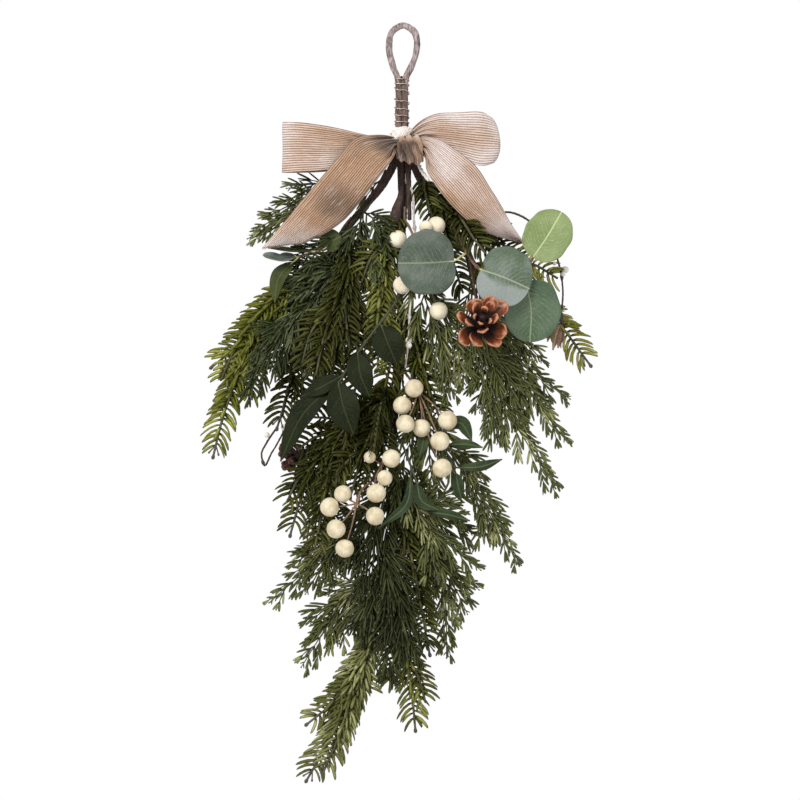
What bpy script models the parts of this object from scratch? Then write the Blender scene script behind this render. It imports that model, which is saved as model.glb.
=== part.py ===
import math
import random

import bpy
import bmesh
from mathutils import Vector
from mathutils.bvhtree import BVHTree

# Christmas door swag. All numbers below are millimetres. The meshes are scaled to metres at the end.
# Origin: the underside of the top of the hanging loop, where a hook bears.
# X is to the right seen from the front, Z is up, the front faces -Y and the door is on the +Y side.
MM = 0.001
GAP = 0.35
LOOP_R = 3.0
LEG_R = 3.3
STEM_R = 3.2
STEM_END_R = 2.4
BRANCH_R = 3.0
BRANCH_END_R = 1.8
WIRE_R = 0.55
CORD_R = 1.8
RIBBON_T = 1.0
BERRY_R = 8.2
BERRY_STEM_R = 0.9
FIR_R = 1.5
FIR_NEEDLE = 17.0
FIR_PITCH = 8.2
CEDAR_R = 0.9
CEDAR_NEEDLE = 16.0
CEDAR_PITCH = 6.2
LEAF_T = 0.9

for old in list(bpy.data.objects):
    bpy.data.objects.remove(old, do_unlink=True)

FRONT = Vector((0.0, -1.0, 0.0))
solids = {}


def vec(points):
    return [Vector(p) for p in points]


# Points at even steps along a line.
def even(dense, step):
    run = [0.0]
    for i in range(1, len(dense)):
        run.append(run[-1] + (dense[i] - dense[i - 1]).length)
    count = max(2, int(round(run[-1] / step)))
    out = []
    j = 0
    for k in range(count + 1):
        s = run[-1] * k / count
        while j < len(run) - 2 and run[j + 1] < s:
            j += 1
        span = run[j + 1] - run[j]
        out.append(dense[j].lerp(dense[j + 1], 0.0 if span < 1e-9 else min(1.0, (s - run[j]) / span)))
    return out


# A smooth curve through the given points, read at even steps. Each stretch keeps its own length in the tangents.
def smooth(points, step):
    pts = vec(points)
    gaps = [(pts[i + 1] - pts[i]).length for i in range(len(pts) - 1)]
    dirs = [(pts[i + 1] - pts[i]) / gaps[i] for i in range(len(gaps))]
    tans = [dirs[0]]
    for i in range(1, len(pts) - 1):
        tans.append((dirs[i - 1] * gaps[i] + dirs[i] * gaps[i - 1]) / (gaps[i - 1] + gaps[i]))
    tans.append(dirs[-1])
    dense = [pts[0]]
    for i in range(len(gaps)):
        p, q, u, v = pts[i], pts[i + 1], tans[i] * gaps[i], tans[i + 1] * gaps[i]
        for k in range(1, 13):
            t = k / 12.0
            dense.append(p * (2 * t ** 3 - 3 * t * t + 1) + u * (t ** 3 - 2 * t * t + t)
                         + q * (3 * t * t - 2 * t ** 3) + v * (t ** 3 - t * t))
    return even(dense, step)


# Directions along a curve, with a side vector carried along it without twist.
def frames(path):
    tans = []
    for i in range(len(path)):
        a = path[max(0, i - 1)]
        b = path[min(len(path) - 1, i + 1)]
        tans.append((b - a).normalized())
    ref = FRONT if abs(tans[0].dot(FRONT)) < 0.9 else Vector((1.0, 0.0, 0.0))
    n = (ref - tans[0] * ref.dot(tans[0])).normalized()
    norms = []
    for t in tans:
        n = (n - t * n.dot(t)).normalized()
        norms.append(n)
    return tans, norms


def ring(centre, t, n, r, sides, turn=0.0):
    b = t.cross(n)
    out = []
    for k in range(sides):
        a = 2 * math.pi * (k - 0.5) / sides + turn
        out.append(centre + n * (r * math.cos(a)) + b * (r * math.sin(a)))
    return out


# A closed tube. A quad named in needles is raised to a point there, which makes a needle.
def tube(path, radii, sides, needles=None, tip=None):
    needles = needles or {}
    tans, norms = frames(path)
    verts = []
    faces = []
    for i, p in enumerate(path):
        r = radii[i] if isinstance(radii, list) else radii
        verts += ring(p, tans[i], norms[i], r, sides)
    for i in range(len(path) - 1):
        for j in range(sides):
            k = (j + 1) % sides
            q = [i * sides + j, i * sides + k, (i + 1) * sides + k, (i + 1) * sides + j]
            if (i, j) in needles:
                verts.append(needles[(i, j)])
                top = len(verts) - 1
                for m in range(4):
                    faces.append([q[m], q[(m + 1) % 4], top])
            else:
                faces.append([q[0], q[1], q[2]])
                faces.append([q[0], q[2], q[3]])
    last = (len(path) - 1) * sides
    verts.append(path[0] - tans[0] * 0.3)
    head = len(verts) - 1
    verts.append(tip if tip is not None else path[-1] + tans[-1] * 0.6)
    tail = len(verts) - 1
    for j in range(sides):
        k = (j + 1) % sides
        faces.append([k, j, head])
        faces.append([last + j, last + k, tail])
    return verts, faces


def blended(r0, r1, count):
    return [r0 + (r1 - r0) * k / (count - 1) for k in range(count)]


# One thin closed sheet between two edges, split into triangles alike on both faces.
def sheet(rows, thick):
    m = len(rows)
    w = len(rows[0])
    normals = []
    for i in range(m):
        line = []
        for j in range(w):
            along = rows[min(m - 1, i + 1)][j] - rows[max(0, i - 1)][j]
            across = rows[i][min(w - 1, j + 1)] - rows[i][max(0, j - 1)]
            line.append(along.cross(across).normalized())
        normals.append(line)
    verts = []
    for side in (0.5, -0.5):
        for i in range(m):
            for j in range(w):
                verts.append(rows[i][j] + normals[i][j] * (thick * side))
    faces = []
    half = m * w

    def at(i, j, layer):
        return layer * half + i * w + j

    for i in range(m - 1):
        for j in range(w - 1):
            a, b, c, d = at(i, j, 0), at(i, j + 1, 0), at(i + 1, j + 1, 0), at(i + 1, j, 0)
            faces += [[a, b, c], [a, c, d]]
            faces += [[a + half, c + half, b + half], [a + half, d + half, c + half]]
    rim = [(0, j) for j in range(w)] + [(i, w - 1) for i in range(1, m)]
    rim += [(m - 1, j) for j in range(w - 2, -1, -1)] + [(i, 0) for i in range(m - 2, 0, -1)]
    for k in range(len(rim)):
        a = at(rim[k][0], rim[k][1], 0)
        b = at(rim[(k + 1) % len(rim)][0], rim[(k + 1) % len(rim)][1], 0)
        faces += [[b, a, a + half], [b, a + half, b + half]]
    return verts, faces


def make_mesh(name, verts, faces):
    mesh = bpy.data.meshes.new(name)
    mesh.from_pydata([tuple(v) for v in verts], [], faces)
    bm = bmesh.new()
    bm.from_mesh(mesh)
    bmesh.ops.triangulate(bm, faces=bm.faces[:])
    bmesh.ops.recalc_face_normals(bm, faces=bm.faces[:])
    bm.to_mesh(mesh)
    bm.free()
    return mesh


# Joins the closed pieces of one node into one body.
def fuse(name, pieces):
    meshes = [make_mesh(name + "_piece", v, f) for v, f in pieces]
    obj = bpy.data.objects.new(name, meshes[0])
    bpy.context.scene.collection.objects.link(obj)
    if len(meshes) > 1:
        group = bpy.data.collections.new(name + "_pieces")
        others = []
        for mesh in meshes[1:]:
            other = bpy.data.objects.new(name + "_piece", mesh)
            group.objects.link(other)
            others.append(other)
        bpy.context.scene.collection.children.link(group)
        join = obj.modifiers.new("join", "BOOLEAN")
        join.operation = "UNION"
        join.solver = "MANIFOLD"
        join.operand_type = "COLLECTION"
        join.collection = group
        deps = bpy.context.evaluated_depsgraph_get()
        done = bpy.data.meshes.new_from_object(obj.evaluated_get(deps))
        obj.modifiers.clear()
        obj.data = done
        for other in others:
            bpy.data.objects.remove(other, do_unlink=True)
        bpy.data.collections.remove(group)
    bm = bmesh.new()
    bm.from_mesh(obj.data)
    bmesh.ops.triangulate(bm, faces=bm.faces[:])
    bm.to_mesh(obj.data)
    bm.free()
    keep(name, obj)
    return obj


# Notes where a finished node lies, so that needles of later nodes stay clear of it.
def keep(name, obj):
    solids[name] = ([v.co.copy() for v in obj.data.vertices], [list(p.vertices) for p in obj.data.polygons])


def others_tree(name, shoots=(), r=1.0):
    verts = []
    faces = []
    for path in shoots:
        v, f = tube(path, r, 3)
        base = len(verts)
        verts += v
        faces += [[base + i for i in face] for face in f]
    for key, (v, f) in solids.items():
        if key == name:
            continue
        base = len(verts)
        verts += v
        faces += [[base + i for i in face] for face in f]
    return BVHTree.FromPolygons(verts, faces)


def clear(tree, a, b, r0, r1):
    n = max(3, int((b - a).length / 1.1))
    for k in range(1, n + 1):
        t = k / n
        if tree.find_nearest(a.lerp(b, t), r0 + (r1 - r0) * t + GAP)[0] is not None:
            return False
    return True


# Least distance between two needles, left out where both are still at their roots.
def near(a, b, c, d):
    u = b - a
    v = d - c
    w = a - c
    uu, uv, vv, uw, vw = u.dot(u), u.dot(v), v.dot(v), u.dot(w), v.dot(w)
    den = uu * vv - uv * uv
    s = 0.5 if den < 1e-6 else max(0.12, min(1.0, (uv * vw - vv * uw) / den))
    t = max(0.12, min(1.0, (uv * s + vw) / vv))
    s = max(0.12, min(1.0, (uv * t - uw) / uu))
    return (a + u * s - c - v * t).length


# The points of a spray's stem: first beside the stem that carries it, then its own.
def bound(host, offset, z, azimuth, along, points):
    path = hosts[host]
    a = math.radians(azimuth)
    out = Vector((math.cos(a), -math.sin(a), 0.0))
    start = []
    for f in (0.0, 0.5, 1.0):
        zz = z - along * f
        best = min(range(len(path) - 1), key=lambda i: abs((path[i].z + path[i + 1].z) / 2 - zz))
        p, q = path[best], path[best + 1]
        t = (q - p).normalized()
        c = p + (q - p) * ((zz - p.z) / (q.z - p.z) if abs(q.z - p.z) > 1e-6 else 0.0)
        side = (out - t * out.dot(t)).normalized()
        start.append(c + side * offset)
    return start + vec(points)


# Brings a spray's stem to a third of a millimetre from the stem that carries it.
def seated(host, z, azimuth, along, points, step, r0, r1, sides):
    offset = HOST_R[host] + r0 + GAP
    for turn in range(8):
        path = smooth(bound(host, offset, z, azimuth, along, points), step)
        verts, faces = tube(path, blended(r0, r1, len(path)), sides)
        gap = 99.0
        for i in range(min(5, len(path) - 1)):
            for j in range(sides):
                k = (j + 1) % sides
                a, b = verts[i * sides + j], verts[(i + 1) * sides + j]
                c, d = verts[i * sides + k], verts[(i + 1) * sides + k]
                for t in (0.0, 0.2, 0.4, 0.6, 0.8):
                    for w in (0.0, 0.25, 0.5, 0.75):
                        p = a.lerp(b, t).lerp(c.lerp(d, t), w)
                        gap = min(gap, host_trees[host].find_nearest(p)[3])
        if abs(gap - 0.3) < 0.02:
            break
        offset -= gap - 0.3
    return path


hosts = {}
stems = {}

# The main stem, with the two side stems that leave it behind the bow.
hosts["main"] = smooth([(-1.5, 6.6, -45), (-1.5, 6.8, -90), (-1, 7, -128), (-1, 5, -175), (-3, 3, -256),
                        (-4, 3, -323), (-8, 3, -378), (-10, 3, -444), (-12, 3, -524)], 14.0)
hosts["left"] = smooth([(-7.9, 7.2, -106), (-8.2, 7.2, -120), (-17, 6.5, -142), (-35, 4, -167), (-53, 2, -188),
                        (-67, 0, -216), (-76, 0, -250)], 12.0)
hosts["right"] = smooth([(5.6, 7.2, -106), (6.2, 7.2, -120), (13, 6.5, -136), (25, 5, -156), (41, 3, -178),
                         (57, 1, -205), (67, 0, -238)], 12.0)
HOST_R = {"main": STEM_R, "left": BRANCH_R, "right": BRANCH_R}
HOST_END_R = {"main": STEM_END_R, "left": BRANCH_END_R, "right": BRANCH_END_R}
host_trees = {}
for key, path in hosts.items():
    verts, faces = tube(path, blended(HOST_R[key], HOST_END_R[key], len(path)), 6)
    host_trees[key] = BVHTree.FromPolygons(verts, faces)

# Every spray: its kind, the stem that holds it, the height and the side where it leaves, its radius
# and the points that its own twig runs through, then those of its side shoots.
SPRAYS = [
    ("fir_spray_left_upper", "fir", "left", -196, 175, 16,
     [(-97, -5, -248), (-133, -7, -279), (-154, -7, -298), (-176, -7, -316)],
     [[(-126, -7, -273), (-143, -10, -298), (-158, -12, -335), (-170, -12, -372), (-177, -11, -402)],
      [(-112, -6, -262), (-122, -8, -262), (-142, -10, -268)],
      [(-151, -11, -318), (-165, -13, -330), (-176, -14, -348)]]),
    ("fir_spray_left_front", "fir", "left", -178, 80, 12,
     [(-50, -20, -222), (-56, -26, -260), (-72, -28, -296), (-89, -28, -322)], []),
    ("fir_spray_centre", "fir", "main", -160, 115, 12,
     [(-10, -11, -190), (-16, -17, -212), (-17, -20, -248), (-15, -20, -286)],
     [[(-16, -18, -222), (-26, -19, -240), (-34, -20, -266)]]),
    ("fir_spray_left_back", "fir", "left", -232, 210, 12,
     [(-92, 8, -276), (-102, 11, -303), (-107, 11, -333), (-118, 9, -372)], []),
    ("fir_spray_left_lower", "fir", "main", -318, 172, 14,
     [(-24, -2, -350), (-54, -11, -374), (-80, -20, -405), (-96, -24, -444), (-107, -23, -479)],
     [[(-62, -13.5, -382), (-80, -20, -384), (-98, -24, -396)]]),
    ("fir_spray_centre_low", "fir", "main", -322, 120, 12,
     [(-16, -12, -352), (-29, -20, -382), (-41, -24, -411), (-48, -24, -436)], []),
    ("fir_spray_centre_right", "fir", "main", -245, 70, 12,
     [(6, -7, -279), (15, -9, -298), (24, -10, -323), (30, -10, -356)], []),
    ("fir_spray_right", "fir", "right", -204, 350, 12,
     [(92, 5, -243), (121, 8, -256), (149, 9, -280), (178, 8, -318)],
     [[(140, 9, -271), (164, 7, -283), (181, 6, -304)], [(132, 8, -263), (150, 10, -296), (168, 9, -322)]]),
    ("fir_spray_bottom", "fir", "main", -488, 140, 16,
     [(-17, -8, -532), (-29, -13, -576), (-47, -15, -623), (-66, -15, -663), (-88, -13, -702)],
     [[(-40, -14, -606), (-64, -17, -634), (-88, -17, -652)], [(-52, -15, -636), (-44, -17, -662), (-46, -18, -690)]]),
    ("fir_spray_bottom_right", "fir", "main", -492, 60, 14,
     [(-6, -7, -534), (0, -9, -570), (7, -9, -612), (11, -7, -655)],
     [[(4, -9, -590), (14, -10, -610), (21, -10, -634)]]),
    ("fir_spray_low_right", "fir", "main", -408, 85, 14,
     [(-2, -6, -448), (6, -8, -487), (15, -9, -534), (24, -7, -584)], []),
    ("fir_spray_under_bow", "fir", "right", -136, 20, 10,
     [(50, 4, -173), (72, 3, -188), (93, 2, -203), (110, 3, -212)], []),
    ("cedar_spray_left_inner", "cedar", "left", -160, 60, 10,
     [(-42, -9, -196), (-48, -13, -227), (-59, -15, -256), (-70, -14, -278)], []),
    ("cedar_spray_top_left", "cedar", "left", -134, 190, 10,
     [(-50, 4, -145), (-80, 3, -156), (-111, 2, -173), (-145, 1, -197)],
     [[(-66, 4, -150), (-84, 3, -146), (-108, 2, -146), (-128, 1, -158)]]),
    ("cedar_spray_left_mid", "cedar", "left", -222, 120, 12,
     [(-84, -14, -252), (-99, -18, -272), (-121, -20, -305), (-148, -18, -346)], []),
    ("cedar_spray_centre", "cedar", "main", -190, 60, 12,
     [(10, -8, -224), (19, -14, -250), (30, -17, -286), (45, -18, -328), (60, -16, -373)],
     [[(24, -16, -268), (16, -19, -300), (14, -20, -330)]]),
    ("cedar_spray_right_long", "cedar", "right", -218, 80, 12,
     [(64, -9, -262), (73, -13, -307), (92, -14, -352), (120, -13, -397), (145, -11, -436)],
     [[(84, -14, -336), (86, -17, -370), (94, -18, -402)], [(108, -13, -380), (130, -12, -392), (146, -11, -410)]]),
    ("cedar_spray_right_upper", "cedar", "right", -232, 300, 5,
     [(80, 8, -268), (99, 8, -298), (127, 7, -328), (156, 5, -348)],
     [[(108, 8, -308), (116, 9, -330), (134, 9, -352)]]),
    ("cedar_spray_right_mid", "cedar", "right", -226, 20, 10,
     [(78, -2, -272), (94, -3, -305), (122, -4, -345), (139, -4, -370), (157, -2, -392)],
     [[(104, -4, -320), (104, -5, -345), (112, -5, -368)]]),
    ("cedar_spray_right_low", "cedar", "main", -318, 8, 14,
     [(10, 2, -357), (35, 0, -388), (65, -2, -429), (89, -3, -472), (114, -3, -511)],
     [[(50, -1, -409), (74, -2, -414), (98, -2, -432)], [(76, -2, -450), (76, -4, -480), (86, -4, -508)]]),
    ("cedar_spray_low_front", "cedar", "main", -391, 48, 10,
     [(6, -10, -440), (25, -15, -468), (49, -17, -491), (71, -15, -508)], []),
    ("cedar_spray_low_side", "cedar", "main", -405, 350, 12,
     [(8, 4, -444), (27, 5, -487), (49, 4, -515), (72, 2, -532)], []),
    ("cedar_spray_bottom_right", "cedar", "main", -412, 310, 12,
     [(5, 9, -444), (28, 11, -489), (40, 9, -540), (41, 7, -596)],
     [[(34, 11, -508), (50, 10, -530), (62, 9, -556)]]),
    ("cedar_spray_low_left", "cedar", "main", -408, 182, 14,
     [(-26, 1, -444), (-55, 0, -474), (-88, 0, -507), (-125, 2, -540)],
     [[(-44, 0, -462), (-60, 1, -492), (-74, 1, -524)]]),
    ("cedar_spray_bottom_left", "cedar", "main", -478, 185, 14,
     [(-24, -1, -515), (-48, -3, -534), (-75, -3, -569), (-101, -2, -613)],
     [[(-40, -2, -528), (-52, -2, -558), (-66, -1, -592)]]),
    ("cedar_spray_low_centre", "cedar", "main", -400, 135, 12,
     [(-18, -14, -444), (-26, -20, -482), (-30, -23, -520), (-36, -22, -564)], []),
    ("cedar_spray_bottom_front", "cedar", "main", -452, 100, 14,
     [(-11, -12, -500), (-9, -18, -538), (-12, -22, -572), (-17, -22, -606)], []),
    ("cedar_spray_back_left", "cedar", "main", -326, 238, 12,
     [(-30, 11, -364), (-60, 11, -400), (-78, 12, -446), (-88, 10, -502)], []),
]
STEM_OF = {"fir": FIR_R, "cedar": CEDAR_R}
STEP_OF = {"fir": FIR_PITCH, "cedar": CEDAR_PITCH}

for name, kind, host, z, azimuth, along, points, side in SPRAYS:
    r = STEM_OF[kind]
    ends = (FIR_R, FIR_R, 4) if kind == "fir" else (CEDAR_R + 0.25, CEDAR_R - 0.1, 3)
    main = seated(host, z, azimuth, along, points, STEP_OF[kind], *ends)
    paths = [main] + [smooth(p, STEP_OF[kind]) for p in side]
    stems[name] = paths
    verts = []
    faces = []
    for path in paths:
        v, f = tube(path, r + 0.35, 4)
        base = len(verts)
        verts += v
        faces += [[base + i for i in face] for face in f]
    solids[name] = (verts, faces)

# Hanging loop: bark-covered vine bent into an eye, both legs running down side by side.
LEG_X = (1.7, -4.3)
eye = smooth([(1.7, 0, -51), (3.2, 0, -45), (7.6, 0, -36), (11.6, 0, -25), (13.1, 0, -14), (10.4, 0, -3),
              (0.0, 0, 3.0), (-10.0, 0, -2.5), (-13.3, 0, -14), (-12.2, 0, -26), (-9.0, 0, -37),
              (-5.7, 0, -45), (-4.3, 0, -51)], 7.5)
legs = []
for x in LEG_X:
    legs.append(tube(smooth([(x, 0, -48), (x, 0, -80), (x, 0, -112)], 22.0), LEG_R + 0.2, 8))
fuse("hanging_loop", [tube(eye, LOOP_R, 7)] + legs)

# Main stem and the two side stems.
for name, key, r0, r1 in (("main_stem", "main", STEM_R, STEM_END_R), ("branch_left", "left", BRANCH_R, BRANCH_END_R),
                          ("branch_right", "right", BRANCH_R, BRANCH_END_R)):
    path = hosts[key]
    fuse(name, [tube(path, blended(r0, r1, len(path)), 6)])

# Wire wound round the two legs and the stem behind them.
TURNS = 7
corners = [(LEG_X[1], 0.0, LEG_R + 0.2), (LEG_X[0], 0.0, LEG_R + 0.2), (-1.5, 6.7, STEM_R)]
wind = []
for k in range(TURNS * 24 + 1):
    a = 2 * math.pi * k / 24.0 + math.pi
    d = Vector((math.cos(a), math.sin(a), 0.0))
    x, y, r = max(corners, key=lambda c: c[0] * d.x + c[1] * d.y + c[2])
    p = Vector((x, y, 0.0)) + d * (r + 0.75 + WIRE_R)
    wind.append(Vector((p.x, p.y, -47.5 - 43.0 * k / (TURNS * 24.0))))
fuse("handle_wire", [tube(even(wind, 5.0), WIRE_R, 3)])

# White cord that ties the bow on: once round everything, once more, then down behind the knot to the right.
cord = smooth([(-13, -9, -104), (-12, -7.5, -99), (-6, -6.8, -95.6), (3, -6.8, -95.6), (8.6, -2, -96.2),
               (7, 7, -97), (-1.5, 12.6, -98), (-9.4, 7, -99), (-11, 0, -99.8), (-7, -6.4, -100.4),
               (2, -6.6, -100.8), (8.2, -3.4, -101.6), (12.2, 1.2, -106), (14.0, 1.4, -114), (14.2, -1.5, -126),
               (17, -7, -134), (24, -9, -144)], 5.0)
fuse("tie_cord", [tube(cord, CORD_R, 4)])


# Ribbon between two edge lines, slightly cupped across its width.
def ribbon(name, edge_a, edge_b, step, cells, cup):
    a = smooth(edge_a, step)
    b = smooth(edge_b, step)
    n = min(len(a), len(b))
    a = even(smooth(edge_a, 1.0), (len(smooth(edge_a, 1.0)) - 1) / n)
    b = even(smooth(edge_b, 1.0), (len(smooth(edge_b, 1.0)) - 1) / n)
    n = min(len(a), len(b))
    rows = []
    for i in range(n):
        row = []
        for j in range(cells + 1):
            t = j / cells
            p = a[i].lerp(b[i], t)
            k = i / (n - 1)
            row.append(p + FRONT * (cup * 4 * t * (1 - t) * math.sin(math.pi * min(1.0, 0.15 + k))))
        rows.append(row)
    return fuse(name, [sheet(rows, RIBBON_T)])


KNOT_X = (-6.4, 19.0)
ribbon("bow_loop_left",
       [(-7.4, -16, -106), (-31, -22, -99), (-69, -24, -92), (-102, -21, -89), (-112, -11, -88), (-102, -2, -88),
        (-69, 1, -92), (-31, -3, -99), (-7.4, -8, -106)],
       [(-7.4, -16, -116), (-31, -22, -126), (-69, -24, -135), (-102, -21, -137), (-113, -11, -137),
        (-102, -2, -136), (-69, 1, -134), (-31, -3, -124), (-7.4, -8, -115)], 12.0, 3, 0.0)
ribbon("bow_loop_right",
       [(20.0, -16, -105), (31, -21, -90), (54, -24, -81), (77, -21, -81), (91, -11, -89), (80, -2, -80),
        (56, 1, -79), (33, -3, -89), (20.0, -8, -104)],
       [(20.0, -16, -115), (32, -21, -120), (54, -24, -126), (77, -21, -131), (92, -11, -126), (80, -2, -128),
        (56, 1, -125), (33, -3, -117), (20.0, -8, -113)], 11.0, 3, 0.0)
ribbon("bow_tail_left",
       [(-7.4, -26, -104), (-26, -30, -102), (-43, -33, -105), (-61, -34, -126), (-80, -34, -148),
        (-99, -33, -171), (-115, -32, -190), (-131, -30, -208)],
       [(-7.4, -26, -115), (-10, -30, -122), (-16, -31, -130), (-25, -31, -146), (-38, -31, -162),
        (-51, -30, -178), (-64, -29, -190), (-78, -26, -200)], 9.0, 3, 2.0)
ribbon("bow_tail_right",
       [(20.0, -26, -104), (35, -31, -109), (51, -34, -120), (68, -37, -134), (79, -38, -152), (91, -38, -168),
        (101, -37, -184), (111, -34, -197)],
       [(20.0, -24, -123), (25, -27, -133), (36, -28, -147), (46, -28, -163), (57, -26, -175), (71, -24, -186),
        (86, -22, -195), (101, -20, -200)], 9.0, 3, 1.0)
# Knot of the bow, gathered in the middle.
knot_rows = []
for k, (u, size) in enumerate(((0.0, 0.90), (0.14, 1.0), (0.38, 0.95), (0.62, 0.95), (0.86, 1.0), (1.0, 0.90))):
    x = KNOT_X[0] + (KNOT_X[1] - KNOT_X[0]) * u
    row = []
    for m in range(12):
        a = 2 * math.pi * m / 12.0
        c, s = math.cos(a), math.sin(a)
        y = -19.5 + 15.0 * size * math.copysign(abs(c) ** 0.6, c)
        z = -115.5 + 12.6 * size * math.copysign(abs(s) ** 0.6, s)
        row.append(Vector((x, y, z)))
    knot_rows.append(row)
verts = [p for row in knot_rows for p in row]
faces = []
for i in range(5):
    for m in range(12):
        n = (m + 1) % 12
        faces.append([i * 12 + m, i * 12 + n, (i + 1) * 12 + n, (i + 1) * 12 + m])
faces.append(list(range(11, -1, -1)))
faces.append(list(range(60, 72)))
fuse("bow_knot", [(verts, faces)])


# A thin leaf on its stalk: root on the twig, then the blade's start, its middle and its tip.
def leaf(root, start, middle, tip, width, shape, face, cup=0.12, rows=7, cells=2):
    blade = smooth([start, middle, tip], (Vector(tip) - Vector(start)).length / rows)
    line = [Vector(root), Vector(root).lerp(Vector(start), 0.6)] + blade
    face = Vector(face).normalized()
    out = []
    for i, p in enumerate(line):
        t = (line[min(len(line) - 1, i + 1)] - line[max(0, i - 1)]).normalized()
        side = t.cross(face).normalized()
        up = side.cross(t).normalized()
        if i < 2:
            half = 1.1
        else:
            u = (i - 2) / (len(blade) - 1)
            if shape == "round":
                half = 0.5 * width * max(0.05, 1 - abs(2 * (u ** 0.9) - 1) ** 2.3) ** 0.5
            else:
                half = 0.5 * width * max(0.06, math.sin(math.pi * (u ** 0.85))) ** 0.85
            half = max(0.9, half)
        row = []
        for j in range(cells + 1):
            v = 2.0 * j / cells - 1.0
            row.append(p + side * (half * v) + up * (cup * half * v * v * (1 if i > 1 else 0)))
        out.append(row)
    return sheet(out, LEAF_T)


def twig(host, z, azimuth, along, r, points, step=8.0, end_r=None):
    path = seated(host, z, azimuth, along, points, step, r, end_r or r * 0.8, 5)
    return tube(path, blended(r, end_r or r * 0.8, len(path)), 5)


F = (0.0, -1.0, 0.0)
# Eucalyptus: round leaves on a pinkish twig at the right.
fuse("eucalyptus_spray_right", [
    twig("right", -160, 75, 8, 1.6, [(48, -14, -190), (59, -25, -212), (68, -32, -226), (90, -35, -236),
                                     (112, -33, -230), (121, -31, -218)]),
    leaf((59, -25.5, -213), (47, -31, -221), (22, -36, -223), (-5, -33, -223), 61, "round", (0.05, -1, 0.1), 0.10, 6, 3),
    leaf((69, -32.4, -227), (72, -34.5, -229), (92, -38, -236), (117, -36, -247), 57, "round", (0.0, -1, 0.12), 0.10, 6, 3),
    leaf((119.5, -31.4, -221), (123, -28, -214), (136, -28, -195), (149, -26, -173), 40, "round", (-0.1, -1, 0.0), 0.14, 6, 3),
    leaf((111, -33.2, -230.5), (114, -29, -240), (119, -27, -266), (118, -24, -296), 52, "round", (0.1, -1, -0.1), 0.12, 6, 3),
])
# Eucalyptus at the left, seen from its edge under the bow tail, with a young narrow leaf.
fuse("eucalyptus_spray_left", [
    twig("left", -180, 140, 8, 1.4, [(-68, -9, -205), (-84, -15, -212), (-99, -19, -216)]),
    leaf((-97, -18.5, -215.5), (-101, -19, -216), (-116, -21, -218), (-131, -20, -214), 34, "round", (0.2, -0.55, 0.85), 0.1, 4, 2),
    leaf((-80, -13.8, -210), (-80, -18, -206), (-76, -21, -199), (-66, -22, -192), 26, "round", (0.1, -0.8, 0.3), 0.1, 4, 2),
    leaf((-98, -19, -216), (-103, -21, -221), (-116, -24, -236), (-120, -22, -259), 17, "oval", (-0.5, -0.8, 0.1), 0.25, 4, 2),
])
# Laurel: dark oval leaves with a clear midrib.
fuse("laurel_spray", [
    twig("main", -228, 78, 10, 1.4, [(-4, -22, -252), (-12, -31, -266), (-24, -34, -282), (-36, -34, -298),
                                       (-48, -36, -315), (-57, -38, -330)]),
    leaf((-22, -33.6, -279), (-20, -37, -282), (-14, -40, -298), (-6, -36, -317), 29, "oval", F, 0.14, 4, 2),
    leaf((-38, -34, -302), (-42, -38, -306), (-40, -42, -325), (-31, -39, -347), 24, "oval", F, 0.14, 4, 2),
    leaf((-56, -38, -329), (-60, -40, -334), (-55, -45, -357), (-46, -41, -382), 30, "oval", F, 0.14, 4, 2),
    leaf((-57, -38, -330.5), (-64, -36, -338), (-86, -40, -367), (-111, -34, -409), 22, "oval", (-0.3, -1, 0.2), 0.14, 4, 2),
    leaf((-52, -37, -322), (-58, -36, -328), (-76, -38, -338), (-95, -34, -347), 16, "oval", (0, -1, 0.4), 0.14, 4, 2),
])
# Olive leaves, narrow, in the middle and at the right.
fuse("olive_spray_centre", [
    twig("main", -366, 75, 10, 1.3, [(2, -20, -398), (8, -28, -414), (14, -31, -432), (20, -31, -452)]),
    leaf((7.4, -27, -412), (7, -31, -420), (4, -37, -444), (-23, -35, -469), 9, "oval", F, 0.2, 4, 2),
    leaf((11, -30, -422), (13, -33, -428), (17, -38, -443), (33, -36, -452), 12, "oval", F, 0.2, 4, 2),
    leaf((20, -31, -452), (24, -33, -454), (40, -37, -456), (62, -33, -462), 9, "oval", (0, -1, 0.4), 0.2, 4, 2),
])
fuse("olive_spray_right", [
    twig("main", -344, 45, 10, 1.3, [(14, -16, -372), (30, -23, -388), (42, -24, -402), (47, -25, -414)]),
    leaf((36, -24, -393), (42, -27, -392), (57, -30, -391), (74, -27, -394), 9, "oval", (0, -1, 0.5), 0.2, 4, 2),
    leaf((46, -25, -412), (52, -28, -413), (72, -31, -412), (92, -27, -405), 10, "oval", (0, -1, 0.5), 0.2, 4, 2),
    leaf((47, -25, -414), (49, -29, -418), (51, -32, -430), (54, -29, -442), 11, "oval", F, 0.2, 4, 2),
])


def ball(centre, r):
    bm = bmesh.new()
    bmesh.ops.create_uvsphere(bm, u_segments=7, v_segments=5, radius=r)
    verts = [v.co + Vector(centre) for v in bm.verts]
    faces = [[v.index for v in f.verts] for f in bm.faces]
    bm.free()
    return verts, faces


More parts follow.
